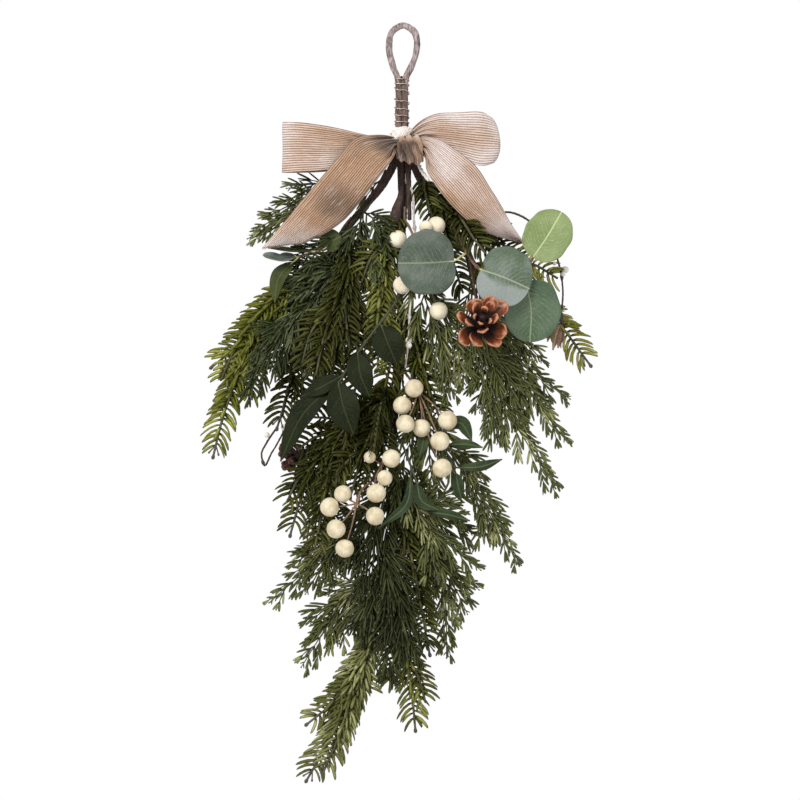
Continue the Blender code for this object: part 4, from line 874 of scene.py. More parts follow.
def ball(centre, radius, pole, seed):
    """A slightly uneven ball with a dimple at its pole, where the stem goes in."""
    rows, cols = 17, 26
    centre = np.array(centre, float)
    pole = unit(np.array(pole, float))
    other = unit(np.cross(pole, (0.31, 0.87, 0.4)))
    third = np.cross(pole, other)
    p = np.linspace(0.0, math.pi, rows)[1:-1, None]
    q = np.linspace(0.0, 2 * math.pi, cols, endpoint=False)[None]
    rng = np.random.default_rng(seed)
    squash = 0.012 * np.sin(2 * q + rng.uniform(0, 6)) * np.sin(p)
    r = radius * (1 + squash + 0.012 * np.sin(3 * p + rng.uniform(0, 6)))
    r = r * (1 - 0.10 * np.exp(-(p / 0.22) ** 2))
    grid = (centre + pole * (r * np.cos(p))[..., None]
            + other * (r * np.sin(p) * np.cos(q))[..., None] + third * (r * np.sin(p) * np.sin(q))[..., None])
    n = (rows - 2) * cols
    ends = np.array([centre + pole * radius * 0.88, centre - pole * radius])
    k = np.arange(cols)
    m = (k + 1) % cols
    base = (np.arange(rows - 3) * cols)[:, None]
    quads = np.stack([base + k, base + cols + k, base + cols + m, base + m], axis=-1).reshape(-1, 4)
    low = (rows - 3) * cols
    tris = np.vstack([np.stack([np.full(cols, n), k, m], 1),
                      np.stack([low + k, np.full(cols, n + 1), low + m], 1)])
    return np.vstack([grid.reshape(-1, 3), ends]), quads, tris, None


round_ones = []
for node, ((host, z, azimuth, points), berries) in BERRIES.items():
    stock = Stock()
    twig(stock, bent(tied(host, z, azimuth, 10, points, 1.3), 1.5), (1.3, 1.2), nodes=(0.95,), finish=1)
    for k, (middle, end, size) in enumerate(berries):
        path = bent([points[-1], middle, end], 1.5)
        stock.add(rod(path, np.linspace(0.9, BERRY_STEM, len(path)), 8, ribs=0.08, seed=k), 1)
        stock.add(ball(end, BERRY_RADIUS * size, path[-2] - path[-1], k + len(node)))
    foam = white_foam if node == "berry_spray_upper" else cream_foam
    round_ones.append(hang(stock.make(node + "_foam", foam, berry_twig), node))


# Pine cones
# Real dried cones, opened wide: woody scales stand round a dark core, each spoon-shaped with a thick tan rim;
# the core and the scales' roots are painted near black as shade between the scales.
# Each cone is wired on its own stem.
# Each row of scales: its height, their number, length and width, and how far they lean to the tip.
CONE_ROWS = ((-0.22, 8, 0.49, 0.27, 0.12), (-0.07, 5, 0.4, 0.18, 0.7), (0.03, 4, 0.24, 0.11, 1.3))
wood, tree = finish("cone_wood", 0.6, Specular_IOR_Level=0.3)
across, length, painted_shade = marks_of(tree)
worn = use(tree, wear, Grain=1200.0, Stain=160.0, Fibre=0.6)
brown = mixed(tree, worn["Tone"], ink(88, 34, 13), ink(172, 92, 46))
# Painted shade: each scale turns near black towards its root, and so does the whole core.
brown = mixed(tree, between(tree, length, 0.86, 0.42), brown, ink(26, 7, 6))
off = calc(tree, "ABSOLUTE", across)
# The rims and tips are paler, partly the wood's own pale edge and partly a painted highlight.
rim = calc(tree, "MAXIMUM", between(tree, length, 0.9, 1.0), between(tree, off, 0.88, 1.0))
rim = times(tree, rim, between(tree, length, 0.45, 0.75))
tip = times(tree, between(tree, length, 0.78, 0.94), between(tree, off, 0.6, 0.2))
pale_rim_and_highlight = calc(tree, "MAXIMUM", times(tree, rim, 0.34), times(tree, tip, 0.5))
brown = mixed(tree, pale_rim_and_highlight, brown, ink(222, 172, 144))
# The third mark darkens the whole cone as painted shade.
dress(wood, mixed(tree, painted_shade, brown, ink(34, 14, 12)), worn["Height"], 0.0006, 0.8)


def scale(root, out, axis, length, width, shade):
    """One spoon-shaped scale, thin at its root and thick at its rounded rim."""
    u = np.linspace(0.0, 1.0, 13)[:, None]
    v = np.linspace(-1.0, 1.0, 9)[None]
    side = unit(np.cross(out, axis))
    half = 0.5 * width * (0.2 + 0.8 * np.sin(math.pi * 0.5 * np.minimum(1.0, u / 0.76)) ** 1.7)
    half = half * np.sqrt(np.maximum(0.06, 1 - np.maximum(0.0, (u - 0.78) / 0.235) ** 2))
    lift = length * (0.02 * u + 0.22 * u ** 3) + 0.4 * half * v ** 2 * u
    grid = (root + out * (length * u * (1 - 0.03 * v ** 2))[..., None] + axis * lift[..., None]
            + side * (half * v)[..., None])
    marks = np.zeros(grid.shape)
    marks[..., 0], marks[..., 1], marks[..., 2] = v, u, shade
    thick = 0.9 + 1.7 * np.exp(-((u - 0.88) / 0.12) ** 2) * (1 - 0.5 * v ** 2)
    return plate(grid, thick, marks)


def cone(node, stem_line, centre, axis, size, seed, shade):
    rng = np.random.default_rng(seed)
    axis = unit(np.array(axis, float))
    centre = np.array(centre, float)
    ref = unit(np.cross(axis, (0.3, 0.2, 1.0)))
    other = np.cross(axis, ref)
    stock = Stock()
    twig(stock, bent(stem_line, 1.5), (1.2, 1.1), finish=1)
    core = np.array([centre + axis * size * h for h in np.linspace(-0.42, 0.2, 12)])
    core_radii = np.interp(np.linspace(0, 1, 12), (0, 0.3, 0.7, 1), (0.12, 0.19, 0.14, 0.05))
    stock.add(rod(core, size * core_radii, 14, 0.05, 3))
    for k, (h, count, length, width, lean) in enumerate(CONE_ROWS):
        for m in range(count):
            a = 2 * math.pi * (m + 0.5 * (k % 2)) / count + rng.uniform(-0.2, 0.2)
            radial = ref * math.cos(a) + other * math.sin(a)
            out = unit(radial + axis * (lean + rng.uniform(-0.22, 0.22)))
            up = unit(axis - out * (axis @ out))
            up = unit(up + np.cross(out, up) * rng.uniform(-0.5, 0.5))
            reach = size * length * rng.uniform(0.8, 1.08)
            wide = size * width * rng.uniform(0.85, 1.12)
            stock.add(scale(centre + axis * (h * size) + radial * (size * 0.05), out, up, reach, wide, shade))
    return hang(stock.make(node + "_scales", wood, stem_bark), node)


round_ones.append(cone("pine_cone_right",
                       tied("right", -196, 60, 8, [(64, -18, -232), (68, -30, -258), (70, -42, -274)], 1.2),
                       (72, -58, -277), (0.05, -0.95, 0.28), 53.0, 13, 0.0))
# The left cone lies back among the needles, and its last value, 0.78, paints it darker as shade.
round_ones.append(cone("pine_cone_left",
                       tied("main", -356, 188, 8, [(-40, 4, -380), (-70, 7, -392), (-92, 8, -400)], 1.2),
                       (-104, 6, -406), (-0.75, -0.5, -0.3), 40.0, 16, 0.78))


# Tendrils, pip twig and wrapping
# Thin dark vine tendrils curl out at both sides. A thin grey twig with small white pips hangs in the middle.
# A thin brown paper cord is wound round the stem half way down.
tendril_bark = aged("tendril_bark", (40, 30, 30), (84, 68, 64), 1100.0, 0.0003)
twig_bark = aged("twig_grey", (138, 128, 122), (222, 214, 208), 1000.0, 0.0004)
white_pip = aged("white_pip", (214, 206, 196), (250, 247, 240), 1800.0, 0.0002, 0.7, 300.0, 1.0)
# Dry brown bracts hang at the end of the right tendril.
dry_leaf = leaf_finish("dry_bract", (112, 82, 64), (190, 158, 136), (216, 190, 168), shine=0.15,
                       vein_share=0.3)
DRY = [((150, 5, -269), (148, 3, -278), (144, 0, -290), (141, -2, -303)),
       ((150, 5, -269), (150, 4, -279), (149, 3, -290), (146, 2, -301)),
       ((149, 5, -269), (145, 3, -276), (139, 1, -284), (136, 0, -295))]
for k, points in enumerate(DRY):
    leaf("tendril_right_bract_%d" % (k + 1), "tendril_right", dry_leaf, tendril_bark,
         points, 6.5, "oval", (0.2 - 0.3 * k, -1, 0.1), 0.3, 0.2, 0.04, seed=50 + k)
# Each tendril: the stem that holds it, the height and the side, how far it is tied, its line, and its pips.
TENDRILS = {
    "tendril_right": ("right", -150, 330, 6, [(52, 12, -172), (80, 12, -178), (98, 10, -172),
                                              (120, 7, -181), (139, 5, -201), (148, 5, -225),
                                              (151, 6, -250), (149, 6, -272)],
                      [((153, 3, -227), 3.4), ((151, 3, -231), 2.4), ((143, 4, -221), 1.8)]),
    "tendril_left": ("left", -238, 250, 5, [(-90, 19, -272), (-104, 20, -312), (-111, 18, -350),
                                            (-120, 12, -376), (-129, 9, -390), (-134, 8, -401),
                                            (-131, 8, -412), (-125, 10, -401), (-117, 13, -387),
                                            (-113, 12, -379)],
                     [((-129, 8, -383), 2.6), ((-113, 11, -376), 3.0), ((-110, 11, -372), 2.4)]),
}
for node, (host, z, azimuth, along, points, pips) in TENDRILS.items():
    stock = Stock()
    path = bent(tied(host, z, azimuth, along, points, 1.0), 1.2)
    twig(stock, path, (1.05, 1.0, 0.8), ribs=0.08, nodes=(0.35, 0.6, 0.82, 1.0), seed=4)
    for k, (centre, radius) in enumerate(pips):
        stock.add(ball(centre, radius, (0.3, 0, 1), k), 1)
    hang(stock.make(node + "_vine", tendril_bark, white_pip), node)
stock = Stock()
line = tied("main", -136, 30, 8, [(8, -2, -152), (10, -8, -180), (12, -14, -208), (9, -20, -243),
                                  (6, -25, -270), (5, -26, -293), (2, -25, -320)], 1.1)
twig(stock, bent(line, 1.4), (1.1, 1.0, 0.9), ribs=0.1, nodes=(0.3, 0.5, 0.75))
stock.add(ball((5, -26.6, -294.5), 3.0, (0, 0, 1), 6), 1)
stock.add(ball((5.2, -26.8, -299), 3.0, (0, 0, -1), 7), 1)
hang(stock.make("pip_twig_wood", twig_bark, white_pip), "pip_twig")
WRAP_TURNS = 3
WRAP_TOP = -288.0
WRAP_DROP = 9.0
WRAP_RADIUS = 4.4
wind = []
for a in np.arange(0.0, WRAP_TURNS * 2 * np.pi, 0.3):
    z = WRAP_TOP - WRAP_DROP * a / (WRAP_TURNS * 2 * np.pi)
    x, y = (np.interp(-z, -sticks["main"][0][:, 2], sticks["main"][0][:, k]) for k in range(2))
    wind.append((x + WRAP_RADIUS * math.cos(a), y + WRAP_RADIUS * math.sin(a), z))
stock = Stock()
stock.add(rod(bent(wind, 1.2), 1.0, 8, ribs=0.08))
paper = aged("paper_wrap", (92, 62, 48), (150, 112, 90))
hang(stock.make("stem_wrap_paper", paper), "stem_wrap")


# Fir sprays
# Moulded fir tips: flat curved needles, combed to the sides of each twig, and dark buds at some ends.
# Every spray is tied to the stem at its root. The needles are satin plastic, darker inside and sunny outside:
# the deep colours inside are painted shade and the sunny ones outside painted light.
FIR_TWIG = 1.5
FIR_NEEDLE = 15.2
FIR_WIDE = 3.6
FIR_SPACING = 0.7
FIR_ROWS = (90, -55, 125, 8, -90, 55, -125)
FIR_SHORTEST = 5.0
FIR_LEAN = 48
FIR_LEAN_BESIDE = 30
FIR_LEAN_END = 32
FIR_BARE = 8.0
FIR_SIDE_BARE = 3.0
FIR_SIDE_AGE = 0.4
BUD_SIZE = 1.85
# Only side shoots that reach out of the bunch, past this line at the left or the bottom, show a bud.
BUDS_LEFT_OF = -175
BUDS_BELOW = -645
# Each spray: its look, the stem that holds it, the height and the side, how far it is tied, its line,
# and the lines of its side shoots.
FIR = [
    ("left_upper", "sunny", "left", -196, 175, 16,
     [(-97, -5, -248), (-133, -7, -279), (-154, -7, -298), (-176, -7, -316)],
     [[(-126, -7, -273), (-143, -10, -298), (-158, -12, -335), (-170, -12, -370), (-177, -11, -398)],
      [(-84, -8, -234), (-112, -11, -248), (-138, -13, -274), (-159, -13, -305), (-171, -13, -332)],
      [(-133, -7, -280), (-138, -12, -314), (-145, -12, -350)]]),
    ("left_front", "deep", "left", -178, 80, 12,
     [(-50, -20, -222), (-56, -26, -260), (-72, -28, -296), (-89, -28, -322)],
     [[(-50, -27, -216), (-61, -30, -256), (-74, -32, -293), (-81, -32, -327)],
      [(-54, -28, -232), (-54, -31, -265), (-50, -31, -300)],
      [(-64, -29, -254), (-84, -31, -284), (-94, -31, -316)],
      [(-54, -25, -245), (-44, -20, -275), (-42, -16, -312), (-46, -14, -348)],
      [(-60, -27, -275), (-64, -22, -310), (-68, -19, -348)]]),
    ("centre", "middle", "main", -160, 115, 12,
     [(-10, -11, -190), (-16, -17, -212), (-17, -20, -248), (-15, -20, -286)],
     [[(-16, -18, -222), (-26, -19, -240), (-34, -20, -266)],
      [(-16, -20, -220), (-22, -24, -260), (-27, -25, -295)],
      [(-16, -18, -197), (-29, -22, -216), (-39, -23, -240)],
      [(-17, -19, -250), (-22, -15, -285), (-24, -13, -322)]]),
    ("left_back", "deep", "left", -232, 210, 12,
     [(-92, 8, -276), (-102, 11, -303), (-107, 11, -333), (-118, 9, -372)],
     [[(-90, 12, -270), (-108, 13, -293), (-124, 12, -323)],
      [(-84, 6, -258), (-110, 8, -274), (-134, 10, -298)],
      [(-88, 8, -266), (-76, 12, -302), (-66, 13, -342)],
      [(-97, 12, -289), (-95, 13, -322), (-97, 12, -355)]]),
    ("left_lower", "deep", "main", -318, 172, 14,
     [(-24, -2, -350), (-54, -11, -374), (-80, -20, -405), (-95, -24, -440), (-104, -23, -471)],
     [[(-62, -13.5, -382), (-80, -20, -384), (-98, -24, -396)],
      [(-56, -18, -376), (-68, -24, -416), (-76, -24, -455), (-82, -23, -488)],
      [(-54, -11, -374), (-66, -16, -368), (-84, -18, -366)],
      [(-48, -14, -367), (-56, -22, -397), (-63, -24, -429)],
      [(-82, -22, -408), (-97, -26, -423), (-108, -26, -444)]]),
    ("centre_low", "deep", "main", -322, 120, 12,
     [(-16, -12, -352), (-29, -20, -382), (-41, -24, -411), (-48, -24, -436)],
     [[(-24, -20, -369), (-18, -25, -397), (-16, -26, -425)],
      [(-20, -14, -364), (-30, -10, -400), (-37, -8, -440)],
      [(-35, -24, -395), (-50, -28, -405), (-62, -28, -420)],
      [(-14, -12, -340), (-20, -28, -352), (-24, -36, -372), (-28, -38, -402)],
      [(-16, -12, -345), (-30, -16, -352), (-46, -20, -366), (-60, -22, -384)]]),
    ("centre_right", "middle", "main", -245, 70, 12,
     [(6, -7, -279), (12, -9, -298), (20, -12, -323), (28, -14, -350), (37, -14, -374)],
     [[(22, -12, -328), (14, -14, -356), (12, -14, -384)],
      [(16, -10, -303), (8, -14, -331), (7, -14, -357)],
      [(6, -8, -280), (-7, -13, -300), (-14, -15, -326), (-19, -15, -352)]]),
    ("right", "pale", "right", -204, 350, 12,
     [(92, 5, -243), (121, 8, -256), (148, 9, -279), (174, 8, -313)],
     [[(76, 4, -228), (95, 3, -220), (120, 4, -221), (146, 5, -235)]]),
    ("bottom", "frosted", "main", -488, 140, 16,
     [(-17, -8, -532), (-29, -13, -576), (-47, -15, -623), (-66, -15, -663), (-88, -13, -702)],
     [[(-40, -14, -606), (-64, -17, -632), (-86, -17, -650)],
      [(-30, -14, -579), (-52, -17, -613), (-73, -17, -642)],
      [(-47, -15, -623), (-56, -19, -654), (-73, -19, -694)],
      [(-40, -14, -606), (-44, -18, -626), (-52, -18, -644)],
      [(-37, -15, -599), (-34, -18, -612), (-30, -18, -624)]]),
    ("bottom_right", "middle", "main", -492, 60, 14,
     [(-6, -7, -534), (0, -9, -570), (7, -9, -612), (11, -7, -655)],
     [[(4, -9, -590), (14, -10, -610), (21, -10, -634)],
      [(-1, -9, -567), (-8, -12, -590), (-12, -12, -618)]]),
    ("low_right", "deep", "main", -408, 85, 14,
     [(-2, -6, -448), (6, -8, -487), (15, -9, -534), (24, -7, -584)],
     [[(2, -8, -444), (12, -16, -430), (26, -18, -424)],
      [(8, -9, -463), (24, -12, -487), (33, -12, -512)],
      [(7, -8, -454), (1, -13, -487), (1, -13, -515)]]),
    ("under_bow", "deep", "right", -136, 20, 10,
     [(50, 4, -173), (72, 3, -188), (93, 2, -203), (110, 3, -212)],
     [[(52, 4, -166), (73, 6, -182), (96, 6, -193)],
      [(18, 3, -141), (22, -3, -160), (29, -7, -182), (35, -9, -206)],
      [(35, 4, -157), (46, 2, -182), (63, 0, -203)],
      [(36, -2, -160), (38, -8, -186), (45, -12, -214), (56, -14, -250)],
      [(44, -4, -168), (56, -24, -184), (66, -34, -201), (76, -38, -214)],
      [(58, 2, -180), (78, 2, -204), (98, 2, -218), (112, 3, -222)]]),
]

# Needle colour is shared by fir and cedar: dark at the root, brown at the point, sunnier at a shoot's end.
needles, given, gives = effect("needle_tint", {
    "Root": (0.01, 0.02, 0.01, 1.0), "Body": (0.03, 0.06, 0.02, 1.0), "Sun": (0.1, 0.12, 0.02, 1.0),
    "Point": (0.04, 0.04, 0.03, 1.0), "Sunny": 0.5}, {"Color": "Color", "Height": "Float"})
across, length, age = marks_of(needles)
chance = put(needles, "NewGeometry").outputs["Random Per Island"]
place = place_on(needles)
patch = noise(needles, place, 28.0)
fine = noise(needles, place, 500.0)
off = calc(needles, "ABSOLUTE", across)
sun = times(needles, age, 0.12, times(needles, chance, 0.5, given["Sunny"]))
sun = times(needles, between(needles, patch, 0.35, 0.65), 0.5, sun)
colour = mixed(needles, between(needles, sun, 0.55, 1.45), given["Body"], given["Sun"])
colour = mixed(needles, between(needles, length, 0.35, 0.0), colour, given["Root"])
colour = mixed(needles, between(needles, length, 0.8, 1.0, 0.0, 0.85), colour, given["Point"])
# The middle ridge of each needle is painted lighter as a highlight, and fine noise varies it at random.
light = times(needles, between(needles, off, 0.5, 0.0), 0.3, between(needles, fine, 0.2, 0.8, 0.75, 1.1))
needles.links.new(shaded(needles, colour, light), gives["Color"])
needles.links.new(calc(needles, "ADD", off, fine), gives["Height"])


def needle_finish(name, root, body, sun, point, sunny):
    material, tree = finish(name, 0.45, Specular_IOR_Level=0.16, Specular_Tint=(1.0, 0.97, 0.6, 1.0))
    tint = use(tree, needles, Root=ink(*root), Body=ink(*body), Sun=ink(*sun), Point=ink(*point), Sunny=sunny)
    return dress(material, tint["Color"], tint["Height"], 0.0002, 0.6)


# The deep colours are painted shade for sprays inside the bunch, and the sunny ones are painted light for the
# spray at the upper left.
fir_finishes = {
    "pale": needle_finish("fir_pale", (66, 62, 20), (112, 109, 42), (188, 186, 108), (92, 88, 60), 0.2),
    "sunny": needle_finish("fir_sunny", (36, 38, 6), (93, 96, 34), (152, 154, 76), (84, 80, 54), 0.16),
    "middle": needle_finish("fir_middle", (24, 26, 5), (68, 71, 24), (146, 148, 78), (76, 74, 50), 0.1),
    "frosted": needle_finish("fir_frosted", (32, 35, 10), (86, 89, 46), (178, 180, 122), (88, 90, 66), 0.1),
    "deep": needle_finish("fir_deep", (16, 19, 4), (46, 49, 16), (116, 118, 60), (66, 66, 44), 0.0),
}
fir_bark = aged("fir_twig", (40, 40, 18), (80, 78, 40), grain=900.0, depth=0.0004, roughness=0.7)
bud_finish = aged("bud", (44, 42, 36), (84, 80, 70), grain=1200.0, depth=0.0003, roughness=0.6)

# Needles stop short of the bow, the leaves, the berries and the cones.
points, faces = [], []
for piece in [loop_left, loop_right, tail_left, tail_right, knot] + greens + round_ones:
    base = len(points)
    points += [v.co / MM for v in piece.data.vertices]
    faces += [[base + i for i in f.vertices] for f in piece.data.polygons]
kept_clear = BVHTree.FromPolygons(points, faces)


def allowed(root, way, curl, length, least):
    """Shortens each needle to what it has room for, and tells which ones are long enough to keep."""
    keep = np.ones(len(root), bool)
    for i in range(len(root)):
        tip = (way[i] + curl[i]) * length[i]
        size = float(np.linalg.norm(tip))
        hit = kept_clear.ray_cast(Vector(root[i]), Vector(tip / size), size + 0.6)[3]
        if hit is not None:
            length[i] *= max(0.0, hit - 0.8) / size
            keep[i] = length[i] > least
    return keep


def blades(root, way, up, length, width, thick, curl, age, outline):
    """Flat curved needles with a ridge in front, one for each root. The outline gives their width."""
    t, wide = np.array(outline).T
    rings, n = len(t), len(root)
    size = length[:, None, None]
    line = (root[:, None] + way[:, None] * size * t[None, :, None]
            + curl[:, None] * size * (t ** 2)[None, :, None])
    flank = unit(np.cross(way, up))[:, None]
    w = flank * (width[:, None] * wide / 2)[..., None]
    facing = unit(np.cross(flank, way[:, None] + 2 * curl[:, None] * t[None, :, None]))
    ridge = facing * thick * wide[None, :, None]
    walls = np.stack([line - w, line + ridge, line + w], axis=2).reshape(n, rings * 3, 3)
    tips = root + (way + curl) * length[:, None]
    marks = np.zeros((n, rings * 3 + 1, 3))
    marks[:, :-1, 0] = np.tile((-1.0, 0.0, 1.0), rings)
    marks[:, :-1, 1] = np.repeat(t, 3)
    marks[:, -1, 1] = 1.0
    marks[..., 2] = age[:, None]
    quads = [[3 * r + k, 3 * r + (k + 1) % 3, 3 * r + 3 + (k + 1) % 3, 3 * r + 3 + k]
             for r in range(rings - 1) for k in range(3)]
    last = 3 * rings - 3
    tris = [[2, 1, 0]] + [[last + k, last + (k + 1) % 3, last + 3] for k in range(3)]
    shift = (np.arange(n) * (rings * 3 + 1))[:, None, None]
    points = np.concatenate([walls, tips[:, None]], axis=1).reshape(-1, 3)
    quads = (np.array(quads)[None] + shift).reshape(-1, 4)
    tris = (np.array(tris)[None] + shift).reshape(-1, 3)
    return points, quads, tris, marks.reshape(-1, 3)


def at_lengths(path, at):
    """Places and directions at the given lengths along a line."""
    run = run_of(path)
    found = [read(rows, run, at) for rows in (path,) + carried(path)]
    return found[0], unit(found[1]), unit(found[2]), unit(found[3])


BUD_STEPS = (-0.6, 0.6, 1.8, 2.8, 3.6, 4.2)
BUD_RADII = np.array((0.62, 0.6, 0.62, 0.95, 1.0, 0.5))


def bud(stock, end, way, size):
    """A dark bud: a short stalk that swells to a rounded head."""
    path = np.array([end + way * (size * s) for s in BUD_STEPS])
    stock.add(rod(path, BUD_RADII * size, 10, ribs=0.03, seed=3), 2)


SHOOT_STEP = 3.0


def branched(path, line):
    """A side shoot's line, moved so that it starts on its own twig."""
    start = np.array(line[0], float)
    nearest = path[np.argmin(np.linalg.norm(path - start, axis=1))]
    return bent([nearest] + line[1:], SHOOT_STEP)


FIR_OUTLINE = ((0.0, 0.5), (0.2, 0.85), (0.5, 1.0), (0.8, 0.98), (0.95, 0.66))


def fir_shoot(stock, path, bare, rng, vigour=1.0, old=0.0, budded=True):
    """One shoot: its twig, seven rows of curved needles combed to its sides, and its buds."""
    run = run_of(path)[-1]
    r = np.linspace(FIR_TWIG, FIR_TWIG * 0.75, len(path))
    stock.add(rod(path, r, 7, ribs=0.06, seed=int(run)), 1)
    at = np.arange(bare, run - 4.5, FIR_SPACING)
    row = np.array(FIR_ROWS)[np.arange(len(at)) % len(FIR_ROWS)]
    shown = (np.abs(row) == 90) | (rng.uniform(0, 1, len(at)) < np.clip((run - at - 22) / 55, 0.08, 0.85))
    at, row = at[shown], row[shown]
    n = len(at)
    p, t, front, flank = at_lengths(path, at)
    far = ((at - bare) / (run - bare))[:, None]
    left = (run - at)[:, None]
    turn = np.radians(row + rng.normal(0, 6.0, n))[:, None]
    out = front * np.cos(turn) + flank * np.sin(turn)
    beside = np.abs(np.sin(turn))
    lean = FIR_LEAN + FIR_LEAN_BESIDE * beside - FIR_LEAN_END * np.exp(-left / 8.0)
    lean = np.radians(lean + rng.normal(0, 4.0, (n, 1)))
    way = unit(t * np.cos(lean) + out * np.sin(lean) + np.array((0, 0, 0.05)))
    up = front + t * 0.3 + rng.normal(0, 0.16, (n, 3))
    up = unit(up - way * np.sum(up * way, axis=1, keepdims=True))
    curl = t * rng.uniform(0.38, 0.8, (n, 1)) - out * rng.uniform(0.0, 0.16, (n, 1))
    curl = curl + rng.normal(0, 0.03, (n, 3))
    length = FIR_NEEDLE * vigour * (0.74 + 0.26 * beside[:, 0]) * (1 - 0.4 * np.exp(-left[:, 0] / 9.0))
    length = length * rng.uniform(0.86, 1.1, n) * (0.9 + 0.1 * np.minimum(1, far[:, 0] * 6))
    root = p + out * (FIR_TWIG * 0.6)
    keep = allowed(root + way * 0.6, way, curl, length, FIR_SHORTEST)
    width = FIR_WIDE * rng.uniform(0.82, 1.1, n)
    age = np.clip(old + far[:, 0] * (1 - old), 0, 1)
    stock.add(blades(root[keep], way[keep], up[keep], length[keep], width[keep], 0.65, curl[keep], age[keep],
                     FIR_OUTLINE))
    if not budded:
        return
    bud(stock, path[-1], t[-1], BUD_SIZE)
    for hand in (1, -1):
        base, ahead, fore, aside = (x[0] for x in at_lengths(path, np.array([run - 6.0])))
        side = unit(ahead + aside * hand * 0.55 + fore * 0.2)
        if rng.uniform() < 0.4:
            stalk = np.array([base, base + side * 3.0, base + side * 6.0])
            stock.add(rod(stalk, 0.7, 6), 2)
            bud(stock, stalk[-1], side, 1.1)


rng = np.random.default_rng(11)
for name, tone, host, z, azimuth, along, points, side_shoots in FIR:
    stock = Stock()
    path = bent(tied(host, z, azimuth, along, points, FIR_TWIG), SHOOT_STEP)
    fir_shoot(stock, path, along + FIR_BARE, rng, 1.05)
    for line in side_shoots:
        budded = line[-1][0] < BUDS_LEFT_OF or line[-1][2] < BUDS_BELOW
        fir_shoot(stock, branched(path, line), FIR_SIDE_BARE, rng, 1.0, FIR_SIDE_AGE, budded)
    node = "fir_spray_" + name
    hang(stock.make(node + "_needles", fir_finishes[tone], fir_bark, bud_finish), node)


# Cedar sprays
# Moulded cedar tips: a thin twig carries small fans at alternate sides, each of narrow soft needles.
# Two at the left are bluish, two low in the middle are dark as painted shade, and the others are olive,
# palest at their ends.
CEDAR_TWIG = 0.9
CEDAR_WIDE = 2.45
CEDAR_SHORTEST = 4.0
# How much longer the needles and fans are, how far a twig is bare and how old it starts. The first value
# of each is for the main twig, the second for its side shoots.
NEEDLE_GAIN = (1.3, 1.22)
REACH_GAIN = (1.4, 1.15)
BARE = (6.0, 5.0)
AGE = (0.0, 0.3)
